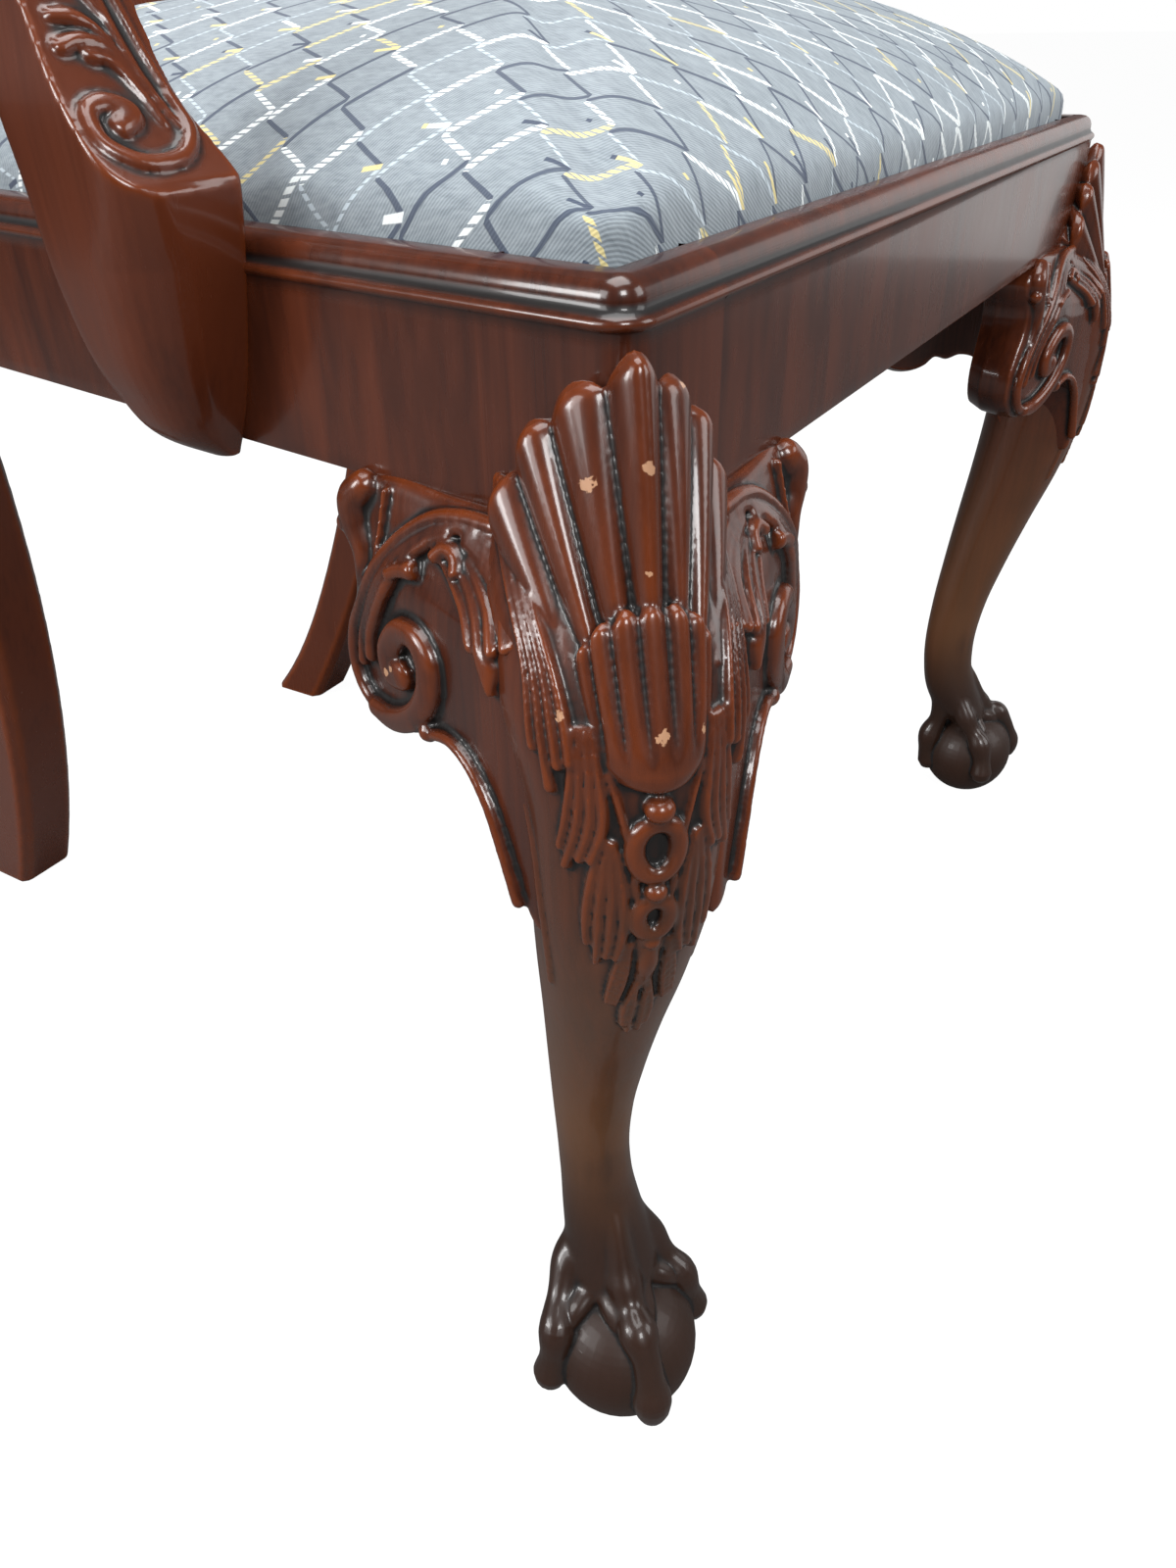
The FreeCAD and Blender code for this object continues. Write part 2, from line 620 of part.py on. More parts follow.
def arm_path():
    """Centre line of the right arm from its scroll to the back post, with width and thickness."""
    front = at_side(SUPPORT_SETBACK + 8, ARM_OVERHANG - 10, ARM_HEIGHT)
    support = at_side(SUPPORT_SETBACK + 62, ARM_OVERHANG - 6, ARM_HEIGHT)
    height = ARM_HEIGHT + ARM_RISE
    x, y, width, depth = back_at(height)
    bow = at_side(POST_FRONT * 0.62, ARM_OVERHANG + 8, ARM_HEIGHT + ARM_RISE * 0.25)
    turn = at_side(POST_FRONT * 0.88, ARM_OVERHANG - 12, ARM_HEIGHT + ARM_RISE * 0.7)
    joint = Vector(x - width * 0.1, y, height)
    middle = (ARM_WIDTH + ARM_REAR_WIDTH) / 2
    return [(front, ARM_WIDTH, ARM_THICKNESS), (support, ARM_WIDTH, ARM_THICKNESS),
            (bow, middle, ARM_THICKNESS), (turn, ARM_REAR_WIDTH, ARM_THICKNESS),
            (joint, ARM_REAR_WIDTH, ARM_THICKNESS)]


def arm():
    """The right arm: a swept oval bar that ends in a rolled scroll."""
    stations = arm_path()
    rings = []
    for index, (centre, width, thickness) in enumerate(stations):
        ahead = stations[min(index + 1, len(stations) - 1)][0]
        behind = stations[max(index - 1, 0)][0]
        along = (ahead - behind).normalize()
        across = along.cross(UP).normalize()
        rise = across.cross(along)
        points = []
        for step in range(12):
            angle = 2 * math.pi * step / 12
            sideways = across * (width / 2 * math.cos(angle))
            points.append(centre + sideways + rise * (thickness / 2 * math.sin(angle)))
        rings.append(ring(points))
    bar = Part.makeLoft(rings, True, False)
    front = stations[0][0]
    along = (stations[1][0] - front).normalize()
    across = along.cross(UP).normalize()
    drop = ARM_SCROLL_RADIUS - ARM_THICKNESS / 2 - ARM_SCROLL_LIFT
    hub = front - UP * drop
    half_width = across * (ARM_SCROLL_WIDTH / 2)
    scroll = Part.makeCylinder(ARM_SCROLL_RADIUS, ARM_SCROLL_WIDTH, hub - half_width, across)
    eye_width = ARM_SCROLL_WIDTH + 2 * ARM_EYE_PROUD
    eye = Part.makeCylinder(ARM_SCROLL_RADIUS * 0.4, eye_width, hub - across * (eye_width / 2), across)
    return joined([bar, scroll, eye])


def arm_support():
    """The right arm support: sawn to an S in side view and to a keel in front view."""
    start = SUPPORT_SETBACK
    end = start + SUPPORT_LENGTH
    top = ARM_HEIGHT
    knee = SUPPORT_KNEE
    low = RAIL_BOTTOM - 5
    inner = -SUPPORT_HOUSING
    def side(along, height):
        return at_side(along, inner - 1, height)
    front_low = [side(start + 24, low), side(start + 15, low + 22), side(start + 7, low + 50),
                 side(start, knee)]
    front_high = [side(start, knee), side(start + 20, knee + 40), side(start + 40, knee + 84),
                  side(start + 54, knee + 130), side(start + 52, knee + 170), side(start + 44, top)]
    rear = [side(end - 6, low), side(end, low + 40), side(end + 4, knee), side(end + 14, knee + 40),
            side(end + 29, knee + 84), side(end + 38, knee + 130), side(end + 36, knee + 170),
            side(end + 30, top)]
    face = outline([front_low, front_high, (side(start + 44, top), side(end + 30, top)), rear,
                    (side(end - 6, low), side(start + 24, low))])
    outward = at_side(0, 1, 0) - at_side(0, 0, 0)
    sawn = face.extrude(outward * (SUPPORT_HOUSING + ARM_OVERHANG + SUPPORT_PROUD))
    before = start - 20
    def front(out, height):
        return at_side(before, out, height)
    proud = SUPPORT_PROUD
    keel = [front(0, low), front(proud * 0.4, low + 6), front(proud * 0.78, low + 24),
            front(proud * 0.96, low + 50), front(proud, knee), front(proud * 0.96, knee + 40),
            front(proud + 2, knee + 84), front(ARM_OVERHANG + 2, knee + 150), front(ARM_OVERHANG + 6, top)]
    inside = [front(inner, knee), front(inner + 2, knee + 40), front(inner + 9, knee + 84),
              front(ARM_OVERHANG - 29, knee + 150), front(ARM_OVERHANG - 24, top)]
    shape = outline([keel, (front(ARM_OVERHANG + 6, top), front(ARM_OVERHANG - 24, top)), inside,
                     (front(inner, knee), front(inner, low)), (front(inner, low), front(0, low))])
    along = at_side(1, 0, 0) - at_side(0, 0, 0)
    return sawn.common(shape.extrude(along * (SUPPORT_LENGTH + 130)))


def support_top():
    """Where the support's round tenon enters the arm."""
    return at_side(SUPPORT_SETBACK + 60, ARM_OVERHANG - 9, ARM_HEIGHT - ARM_THICKNESS * 0.75)


def screw(head, direction, length, grow=0.0):
    """A countersunk wood screw; grown, it is the hole that it goes through."""
    direction = Vector(direction).normalize()
    taper = Part.makeCone(SCREW_HEAD_RADIUS + grow, SCREW_RADIUS + grow, SCREW_HEAD_HEIGHT, head, direction)
    shank = Part.makeCylinder(SCREW_RADIUS + grow, length + grow, head, direction)
    return taper.fuse(shank).removeSplitter()


def screw_pocket(head, direction, depth):
    """The hole above a sunk screw head."""
    direction = Vector(direction).normalize()
    radius = SCREW_HEAD_RADIUS + SCREW_CLEARANCE
    return Part.makeCylinder(radius, depth, head - direction * depth, direction)


def corner_block_plan(front):
    """A triangular block inside a right-hand corner of the seat frame."""
    if front:
        corner_y = RAIL_THICKNESS
        far_y = LEG_POST + BLOCK_LEG
    else:
        corner_y = POST_FRONT - (RAIL_THICKNESS - REBATE_WALL)
        far_y = corner_y - BLOCK_LEG
    corner = (side_x(corner_y, RAIL_THICKNESS), corner_y)
    reach = LEG_POST - RAIL_THICKNESS + BLOCK_LEG if front else BLOCK_LEG
    return [corner, (corner[0] + reach, corner_y), (side_x(far_y, RAIL_THICKNESS), far_y)]


def corner_block(front):
    top = REBATE - BLOCK_TOP_GAP
    return prism(corner_block_plan(front), top - BLOCK_HEIGHT, top)


def block_screws(front):
    """Two screws for a corner block: (head, direction, length) into the two rails that it joins."""
    corner, along, beside = [Vector(x, y, REBATE - BLOCK_TOP_GAP) for x, y in corner_block_plan(front)]
    level = -UP * (BLOCK_HEIGHT / 2)
    screws = []
    for near, far, drop in ((along, beside, 5), (beside, along, -5)):
        share = 0.40 if front else 0.34
        spot = near + (far - near) * share
        edge = (near - corner).normalize()
        foot = corner + edge * (spot - corner).dot(edge)
        inward = (foot - spot).normalize()
        sink = 9.0
        head = spot + inward * sink + level + UP * drop
        screws.append((head, inward, (foot - spot).Length - sink + SCREW_BITE))
    return screws


def support_screws():
    """Screws from inside the side rail into the arm support, and one up at an angle to its top."""
    inward = at_side(0, 1, 0) - at_side(0, 0, 0)
    spots = []
    for height in (RAIL_BOTTOM + 20, MOULDING_BOTTOM - 14):
        head = at_side(SUPPORT_SETBACK + SUPPORT_LENGTH * 0.62, -RAIL_THICKNESS, height)
        spots.append((head, inward, RAIL_THICKNESS + SCREW_BITE))
    return spots


def arm_screw():
    """The screw through the back post into the end of the arm, from the post's rear face."""
    height = ARM_HEIGHT + ARM_RISE
    x, y, width, depth = back_at(height)
    turn, joint = arm_path()[-2][0], arm_path()[-1][0]
    along = (turn - joint).normalize()
    start = Vector(joint.x, joint.y, height) - along * (depth / 2 - PLUG_LENGTH - 2)
    return start, along, depth + SCREW_BITE * 1.5


def seat_edge(inset=0.0):
    """The drop-in seat's plan, drawn in from its covered edge."""
    return seat_plan(REBATE_WALL + SEAT_GAP + inset, SEAT_GAP + inset, POST_FRONT)


def rounded_plan(plan, height, radius):
    """A closed wire over a four-cornered plan with its corners rounded."""
    points = [Vector(x, y, height) for x, y in plan]
    edges = []
    tangents = []
    for index, corner in enumerate(points):
        before = (points[index - 1] - corner).normalize()
        after = (points[(index + 1) % len(points)] - corner).normalize()
        half = before.getAngle(after) / 2
        reach = radius / math.tan(half)
        middle = (before + after).normalize()
        bulge = corner + middle * (radius / math.sin(half) - radius)
        tangents.append((corner + before * reach, bulge, corner + after * reach))
    for index, (enter, bulge, leave) in enumerate(tangents):
        edges.append(Part.Arc(enter, bulge, leave).toShape())
        edges.append(line(leave, tangents[(index + 1) % len(tangents)][0]))
    return Part.Wire(edges)


def cushion(grow, bottom):
    """The crowned stuffing with straight sides down to a height, or its cover's outside when grown."""
    base = stuffing_base()
    crown = [(0.0, CUSHION_SIDE), (5.0, CUSHION_SIDE + CUSHION_CROWN * 0.28),
             (22.0, CUSHION_SIDE + CUSHION_CROWN * 0.48), (54.0, CUSHION_SIDE + CUSHION_CROWN * 0.61),
             (100.0, CUSHION_CROWN)]
    inset = COVER_THICKNESS + SOFT_GAP - grow
    wires = [rounded_plan(seat_edge(inset), bottom, CUSHION_CORNER)]
    for draw_in, rise in crown:
        wires.append(rounded_plan(seat_edge(inset + draw_in), base + rise + grow, CUSHION_CORNER))
    return Part.makeLoft(wires, True, True)


def seat_frame_bottom():
    return REBATE + COVER_THICKNESS


def seat_frame_top():
    return seat_frame_bottom() + SEAT_RAIL_THICKNESS


def stuffing_base():
    return seat_frame_top() + 2 * WEBBING_THICKNESS + HESSIAN_THICKNESS


def core_plan():
    """Plan of the seat's wooden frame, inside its cover."""
    return seat_edge(COVER_THICKNESS + SOFT_GAP)


def core(bottom, top):
    wires = [rounded_plan(core_plan(), height, CUSHION_CORNER) for height in (bottom, top)]
    return Part.makeLoft(wires, True, True)


def seat_frame_rails():
    """The seat's own frame: front and back rails right across, side rails between them."""
    whole = core(seat_frame_bottom(), seat_frame_top())
    heights = (seat_frame_bottom(), seat_frame_top())
    plan = core_plan()
    front_y = plan[0][1] + SEAT_RAIL_WIDTH
    back_y = plan[2][1] - SEAT_RAIL_WIDTH
    wide = (-HALF_WIDTH, HALF_WIDTH)
    front = whole.common(block(wide, (0, front_y), heights))
    back = whole.common(block(wide, (back_y, SEAT_DEPTH), heights))
    inner = REBATE_WALL + SEAT_GAP + COVER_THICKNESS + SOFT_GAP + SEAT_RAIL_WIDTH
    strip = [(-HALF_WIDTH, front_y), (side_x(front_y, inner), front_y), (side_x(back_y, inner), back_y),
             (-HALF_WIDTH, back_y)]
    right = whole.common(prism(strip, *heights))
    return front, back, right


def seat_dowels():
    """Two dowels in each corner joint of the seat frame."""
    plan = core_plan()
    dowels = []
    middle = (seat_frame_bottom() + seat_frame_top()) / 2
    for joint_y in (plan[0][1] + SEAT_RAIL_WIDTH, plan[2][1] - SEAT_RAIL_WIDTH):
        for share in (0.28, 0.72):
            inset = REBATE_WALL + SEAT_GAP + COVER_THICKNESS + SOFT_GAP + SEAT_RAIL_WIDTH * share
            start = Vector(side_x(joint_y, inset), joint_y - DOWEL_LENGTH / 2, middle)
            peg = Part.makeCylinder(DOWEL_RADIUS, DOWEL_LENGTH, start, Vector(0, 1, 0))
            dowels += [peg, mirrored(peg)]
    return dowels


def webbing():
    """Linen straps: one set across the frame, the other front to back on top of it."""
    plan = core_plan()
    clear = 6.0
    front_y, back_y = plan[0][1], plan[2][1]
    base = seat_frame_top()
    across = []
    lengthwise = []
    whole = core(base, base + 2 * WEBBING_THICKNESS)
    for index in range(WEBBING_COUNT):
        share = (index + 0.5) / WEBBING_COUNT
        y = front_y + (back_y - front_y) * share
        reach = -side_x(y, REBATE_WALL) - clear - SEAT_GAP
        across.append(whole.common(block((-reach, reach), (y - WEBBING_WIDTH / 2, y + WEBBING_WIDTH / 2),
                                         (base, base + WEBBING_THICKNESS))))
        narrow = -side_x(back_y, REBATE_WALL) - clear - SEAT_GAP
        x = (2 * share - 1) * (narrow - clear)
        lengthwise.append(whole.common(block((x - WEBBING_WIDTH / 2, x + WEBBING_WIDTH / 2),
                                             (front_y + clear, back_y - clear),
                                             (base + WEBBING_THICKNESS, base + 2 * WEBBING_THICKNESS))))
    return across, lengthwise


def seat_cover():
    """The woven cover: over the crown, down the sides and turned under the seat frame."""
    skin = cushion(COVER_THICKNESS + SOFT_GAP, REBATE)
    inside = cushion(0, seat_frame_bottom())
    gap = prism(seat_edge(cover_return()), REBATE - 1, seat_frame_bottom() + 1)
    return skin.cut(inside).cut(gap)


def tack_inset():
    """Tacks stand just clear of the ledge that the seat lies on."""
    ledge = RAIL_THICKNESS - REBATE_WALL - SEAT_GAP
    return ledge + TACK_HEAD_RADIUS + TACK_MARGIN


def cover_return():
    """How far the cover is turned under the seat: past the tacks."""
    return tack_inset() + TACK_HEAD_RADIUS + TACK_MARGIN


def tack_spots():
    """Tacks along the turned-under edge, evenly spaced on each side of the seat."""
    plan = [Vector(x, y, REBATE) for x, y in seat_edge(tack_inset())]
    spots = []
    for index, start in enumerate(plan):
        end = plan[(index + 1) % len(plan)]
        count = max(2, round((end - start).Length / TACK_PITCH))
        spots += [start + (end - start) * ((step + 0.5) / count) for step in range(count)]
    return spots


def tack(spot):
    head = Part.makeCylinder(TACK_HEAD_RADIUS, TACK_HEAD_THICKNESS, spot - UP * TACK_HEAD_THICKNESS)
    return head.fuse(Part.makeCylinder(TACK_SHANK_RADIUS, TACK_LENGTH, spot)).removeSplitter()


def tack_hole(spot):
    start = spot - UP * TACK_HEAD_THICKNESS
    depth = TACK_HEAD_THICKNESS + TACK_LENGTH + SCREW_CLEARANCE
    return Part.makeCylinder(TACK_SHANK_RADIUS + SCREW_CLEARANCE, depth, start)


def drilled(shape, holes):
    for hole in holes:
        shape = shape.cut(hole)
    return shape


def chair():
    """Every node of the chair, by name."""
    slab = moulded_seat_slab()
    leg = front_leg(slab)
    post = back_post()
    support = arm_support()
    bar = arm()
    rail_plan = [(side_x(0), 0), (side_x(0, RAIL_THICKNESS), 0),
                 (side_x(POST_FRONT, RAIL_THICKNESS), POST_FRONT), (side_x(POST_FRONT), POST_FRONT)]
    rail_body = prism(rail_plan, 0, MOULDING_BOTTOM)
    support = support.cut(rail_body).cut(bar)
    tenon_foot = support_top()
    peg = Part.makeCylinder(SUPPORT_TENON_RADIUS, SUPPORT_TENON_LENGTH, tenon_foot, UP)
    support = support.fuse(peg).removeSplitter()
    bar = bar.cut(post).cut(support)
    rail = side_rail(slab).cut(support)

    nodes = {}
    right_screws = support_screws()
    arm_fix = arm_screw()
    holes = [screw(*fixing, SCREW_CLEARANCE) for fixing in right_screws]
    arm_hole = screw(*arm_fix, SCREW_CLEARANCE)
    plug_start, plug_along = arm_fix[0], Vector(arm_fix[1])
    plug = Part.makeCylinder(PLUG_RADIUS, PLUG_LENGTH, plug_start - plug_along * PLUG_LENGTH, plug_along)
    reach = plug_along * (4 * PLUG_LENGTH)
    plug_hole = Part.makeCylinder(PLUG_RADIUS, reach.Length, plug_start - reach, plug_along)
    support = drilled(support, holes)
    rail = drilled(rail, holes)
    bar = bar.cut(arm_hole)
    post = post.cut(arm_hole).cut(plug_hole)

    blocks = {"front": corner_block(True).cut(leg), "back": corner_block(False).cut(post)}
    fixings = {"front": block_screws(True), "back": block_screws(False)}
    front_bar = front_rail(slab)
    rear_bar = back_rail()
    block_fixings = []
    for end in ("front", "back"):
        for fixing in fixings[end]:
            hole = screw(*fixing, SCREW_CLEARANCE)
            pocket = screw_pocket(fixing[0], fixing[1], BLOCK_LEG)
            blocks[end] = blocks[end].cut(hole).cut(pocket)
            rail = rail.cut(hole)
            front_bar = front_bar.cut(hole).cut(mirrored(hole))
            rear_bar = rear_bar.cut(hole).cut(mirrored(hole))
            block_fixings.append(screw(*fixing))

    board = splat()
    crest = crest_rail().cut(post).cut(mirrored(post)).cut(board)
    foot_block = shoe().cut(board)

    side_ear = knee_bracket(at_side, leg)
    front_ear = without_offcuts(knee_bracket(at_front, leg).cut(side_ear))
    pairs = {"front_leg": leg, "side_seat_rail": rail, "back_post": post,
             "arm_support": support, "arm": bar,
             "corner_block_front": blocks["front"], "corner_block_back": blocks["back"],
             "knee_bracket_side": side_ear, "knee_bracket_front": front_ear}
    for name, shape in pairs.items():
        nodes[name + "_right"] = shape
        nodes[name + "_left"] = mirrored(shape)
    nodes["front_seat_rail"] = front_bar
    nodes["back_seat_rail"] = rear_bar
    nodes["crest_rail"] = crest
    nodes["back_splat"] = board
    nodes["splat_shoe"] = foot_block

    groups = {"corner_block_screws": block_fixings,
              "arm_support_screws": [screw(*fixing) for fixing in right_screws],
              "arm_screws": [screw(*arm_fix)], "arm_screw_plugs": [plug]}
    for name, shapes in groups.items():
        nodes[name] = Part.makeCompound(shapes + [mirrored(shape) for shape in shapes])

    spots = tack_spots()
    tack_holes = [tack_hole(spot) for spot in spots]
    dowels = seat_dowels()
    front, back, right = [drilled(bar_shape, dowels + tack_holes) for bar_shape in seat_frame_rails()]
    nodes["seat_frame_front"] = front
    nodes["seat_frame_back"] = back
    nodes["seat_frame_right"] = right
    nodes["seat_frame_left"] = mirrored(right)
    nodes["seat_frame_dowels"] = Part.makeCompound(dowels)
    across, lengthwise = webbing()
    nodes["seat_webbing_across"] = Part.makeCompound(across)
    nodes["seat_webbing_lengthwise"] = Part.makeCompound(lengthwise)
    nodes["seat_hessian"] = core(stuffing_base() - HESSIAN_THICKNESS, stuffing_base())
    nodes["seat_stuffing"] = cushion(-SOFT_GAP, stuffing_base())
    nodes["seat_cover"] = drilled(seat_cover(), tack_holes)
    nodes["seat_cover_tacks"] = Part.makeCompound([tack(spot) for spot in spots])
    dust = seat_edge(cover_return() + SEAT_GAP)
    nodes["seat_dust_cover"] = prism(dust, seat_frame_bottom() - DUST_COVER_THICKNESS, seat_frame_bottom())
    return nodes


def centre_depth(nodes):
    """Depth of the middle of the chair's own rectangle."""
    boxes = [shape.optimalBoundingBox(False, False) for shape in nodes.values()]
    return (min(box.YMin for box in boxes) + max(box.YMax for box in boxes)) / 2


os.makedirs("parts", exist_ok=True)
chair_nodes = chair()
shift = Vector(0, -centre_depth(chair_nodes), 0)
for node_name, node_shape in chair_nodes.items():
    moved = node_shape.copy()
    moved.translate(shift)
    moved.exportStep("parts/" + node_name + ".step")
    print(node_name, len(moved.Solids), moved.isValid(), round(moved.Volume / 1000, 2))
print("front face at", round(shift.y, 3))
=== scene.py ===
"""The carved mahogany armchair with ball-and-claw front legs and a drop-in seat."""

import math

import bmesh
import bpy
import numpy as np
from mathutils import Matrix, Vector


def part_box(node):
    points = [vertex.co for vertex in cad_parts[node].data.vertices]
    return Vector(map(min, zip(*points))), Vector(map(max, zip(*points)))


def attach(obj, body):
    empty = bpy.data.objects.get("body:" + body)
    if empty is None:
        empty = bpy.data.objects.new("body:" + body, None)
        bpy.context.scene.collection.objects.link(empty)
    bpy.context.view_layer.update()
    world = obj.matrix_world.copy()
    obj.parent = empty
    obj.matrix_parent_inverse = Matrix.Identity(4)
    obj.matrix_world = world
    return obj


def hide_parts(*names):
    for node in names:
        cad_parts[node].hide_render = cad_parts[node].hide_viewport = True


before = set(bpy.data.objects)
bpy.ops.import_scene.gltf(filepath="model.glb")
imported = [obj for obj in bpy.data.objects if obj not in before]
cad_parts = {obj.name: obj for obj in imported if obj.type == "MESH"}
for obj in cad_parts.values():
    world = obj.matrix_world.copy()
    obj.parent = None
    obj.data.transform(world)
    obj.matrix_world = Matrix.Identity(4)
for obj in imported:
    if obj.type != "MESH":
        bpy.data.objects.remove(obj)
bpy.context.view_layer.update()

# The studio. A plain white floor that runs out of sight, soft lamps above it, and a camera
# close over the right front corner, looking down at the carved knee.
MM = 0.001
LIP = 1.2
front_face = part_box("front_seat_rail")[0].y / MM + LIP
CAMERA_OFF_RAIL = (-509.6, -129.4, 493.6)
CAMERA_YAW = -1.0295
CAMERA_PITCH = 0.5857
CAMERA_ROLL = -0.0193
FOCAL_PIXELS = 1173.8
IMAGE_LONG_SIDE = 1600
SENSOR = 36.0
NEAREST = 0.01
FLOOR_HALF = 40.0
FLOOR_GLOW = 0.965
FLOOR_SHADE = 0.1
FLOOR_GREY = 0.14
SKY_TINT = (0.93, 0.96, 1.0, 1)
SKY_STRENGTH = 0.15
LAMP_TARGET = (-0.15, -0.1, 0.38)
# Each lamp's place, the side of its square in metres, and its power in watts.
LAMPS = {"window": ((-2.2, 0.9, 1.3), 1.2, 30), "side": ((-1.5, -1.7, 1.6), 0.7, 34),
         "ceiling": ((-0.2, -0.2, 2.5), 1.8, 66), "front": ((0.8, -2.4, 1.4), 1.3, 26),
         "card": ((2.5, -1.05, 0.3), 2.0, 10), "back": ((-1.9, 1.3, 0.85), 0.6, 20)}

scene = bpy.context.scene
scene.view_settings.view_transform = "Standard"


def maths(operation, swapped=False):
    """A method that joins a wire, and what it is given, to a Math node."""
    def joined(self, other=0.0):
        first, second = (other, self) if swapped else (self, other)
        return self.finish.node("ShaderNodeMath", {"operation": operation}, {0: first, 1: second})

    return joined


class Wire:
    """One output socket of a finish. Arithmetic on it adds Math nodes to the finish."""

    __add__ = maths("ADD")
    __radd__ = maths("ADD", True)
    __sub__ = maths("SUBTRACT")
    __rsub__ = maths("SUBTRACT", True)
    __mul__ = maths("MULTIPLY")
    __rmul__ = maths("MULTIPLY", True)
    __truediv__ = maths("DIVIDE")
    __gt__ = maths("GREATER_THAN")
    __lt__ = maths("LESS_THAN")
    fraction = maths("FRACT")
    floor = maths("FLOOR")
    absolute = maths("ABSOLUTE")
    at_most = maths("MINIMUM")
    at_least = maths("MAXIMUM")

    def __init__(self, finish, socket):
        self.finish = finish
        self.socket = socket

    def ribs(self):
        """1 on whole counts, falling to 0 halfway between them."""
        return (self.fraction() - 0.5).absolute() * 2

    def fade(self, low, high):
        """0 below low, 1 above high, smooth between them."""
        settings = {"interpolation_type": "SMOOTHSTEP"}
        return self.finish.node("ShaderNodeMapRange", settings, {0: self, 1: low, 2: high})


class Finish:
    """One material, or the sky, made node by node."""

    def __init__(self, name, kind="materials"):
        self.block = getattr(bpy.data, kind).new(name)
        self.block.use_nodes = True
        self.tree = self.block.node_tree
        self.tree.nodes.clear()

    def node(self, kind, settings, sockets, output=0):
        made = self.tree.nodes.new(kind)
        for name, value in settings.items():
            setattr(made, name, value)
        for name, value in sockets.items():
            if isinstance(value, Wire):
                self.tree.links.new(value.socket, made.inputs[name])
            else:
                made.inputs[name].default_value = value
        return Wire(self, made.outputs[output] if made.outputs else None)

    def place(self):
        """Where a point lies in the chair's own frame."""
        return self.node("ShaderNodeTexCoord", {}, {}, "Object")

    def parts(self, vector):
        """The three numbers of a vector."""
        return [self.node("ShaderNodeSeparateXYZ", {}, {0: vector}, axis) for axis in "XYZ"]

    def turned(self, vector, scale, rotation=(0, 0, 0)):
        """A vector scaled and turned, to lay a pattern along a piece."""
        return self.node("ShaderNodeMapping", {}, {"Vector": vector, "Scale": scale, "Rotation": rotation})

    def noise(self, vector, scale, detail=2.0):
        return self.node("ShaderNodeTexNoise", {}, {"Vector": vector, "Scale": scale, "Detail": detail})

    def stored(self, name):
        """A number that the mesh keeps at each point."""
        return self.node("ShaderNodeAttribute", {"attribute_name": name}, {}, "Fac")

    def near(self, vector, point, reach):
        """1 within a reach of a point, fading to 0 at its edge."""
        away = self.node("ShaderNodeVectorMath", {"operation": "DISTANCE"}, {0: vector, 1: point}, "Value")
        return 1 - away.fade(0, reach)

    def mix(self, share, first, second):
        """A colour between two colours."""
        return self.node("ShaderNodeMix", {"data_type": "RGBA"}, {0: share, 6: first, 7: second}, 2)

    def bump(self, height, strength, distance):
        return self.node("ShaderNodeBump", {}, {"Height": height, "Strength": strength, "Distance": distance})

    def surface(self, sockets):
        shader = self.node("ShaderNodeBsdfPrincipled", {}, sockets)
        self.node("ShaderNodeOutputMaterial", {}, {"Surface": shader})
        return self.block

    def seen_apart(self, lit, seen, output):
        """Ends in one shader for the light that reaches the chair, and another for the camera."""
        eye = self.node("ShaderNodeLightPath", {}, {}, "Is Camera Ray")
        mixed = self.node("ShaderNodeMixShader", {}, {0: eye, 1: lit, 2: seen})
        self.node(output, {}, {"Surface": mixed})
        return self.block


def paint(red, green, blue):
    """A colour written in screen values from 0 to 255, as the linear colour that shaders take."""
    linear = []
    for value in (red, green, blue):
        share = value / 255
        linear.append(share / 12.92 if share <= 0.04045 else ((share + 0.055) / 1.055) ** 2.4)
    return (*linear, 1.0)


def placed(name, data):
    """A new object in the scene."""
    made = bpy.data.objects.new(name, data)
    scene.collection.objects.link(made)
    return made


def camera():
    pitch = math.cos(CAMERA_PITCH)
    back = Vector((math.sin(CAMERA_YAW) * pitch, -math.cos(CAMERA_YAW) * pitch, math.sin(CAMERA_PITCH)))
    right = Vector((0, 0, 1)).cross(back).normalized()
    up = back.cross(right)
    cosine = math.cos(CAMERA_ROLL)
    sine = math.sin(CAMERA_ROLL)
    across = cosine * right + sine * up
    along = -sine * right + cosine * up
    data = bpy.data.cameras.new("camera")
    data.sensor_width = SENSOR
    data.lens = FOCAL_PIXELS * SENSOR / IMAGE_LONG_SIDE
    data.clip_start = NEAREST
    scene.camera = placed("camera", data)
    place = (Vector(CAMERA_OFF_RAIL) + Vector((0, front_face, 0))) * MM
    turn = Matrix((across, along, back)).transposed().to_4x4()
    scene.camera.matrix_world = Matrix.Translation(place) @ turn


def floor():
    finish = Finish("white_floor")
    lit = finish.node("ShaderNodeBsdfDiffuse", {}, {"Color": (FLOOR_GREY, FLOOR_GREY, FLOOR_GREY, 1)})
    shade = finish.node("ShaderNodeBsdfDiffuse", {}, {"Color": (FLOOR_SHADE, FLOOR_SHADE, FLOOR_SHADE, 1)})
    glow = finish.node("ShaderNodeEmission", {}, {"Strength": FLOOR_GLOW})
    white = finish.node("ShaderNodeAddShader", {}, {0: glow, 1: shade})
    half = FLOOR_HALF
    corners = [(-half, -half, 0), (half, -half, 0), (half, half, 0), (-half, half, 0)]
    mesh = bpy.data.meshes.new("floor")
    mesh.from_pydata(corners, [], [(0, 1, 2, 3)])
    mesh.materials.append(finish.seen_apart(lit, white, "ShaderNodeOutputMaterial"))
    placed("floor", mesh)


def lamp(name, place, size, power):
    data = bpy.data.lights.new(name, "AREA")
    data.size = size
    data.energy = power
    made = placed(name, data)
    made.location = place
    made.rotation_mode = "QUATERNION"
    made.rotation_quaternion = (Vector(LAMP_TARGET) - Vector(place)).to_track_quat("-Z", "Y")


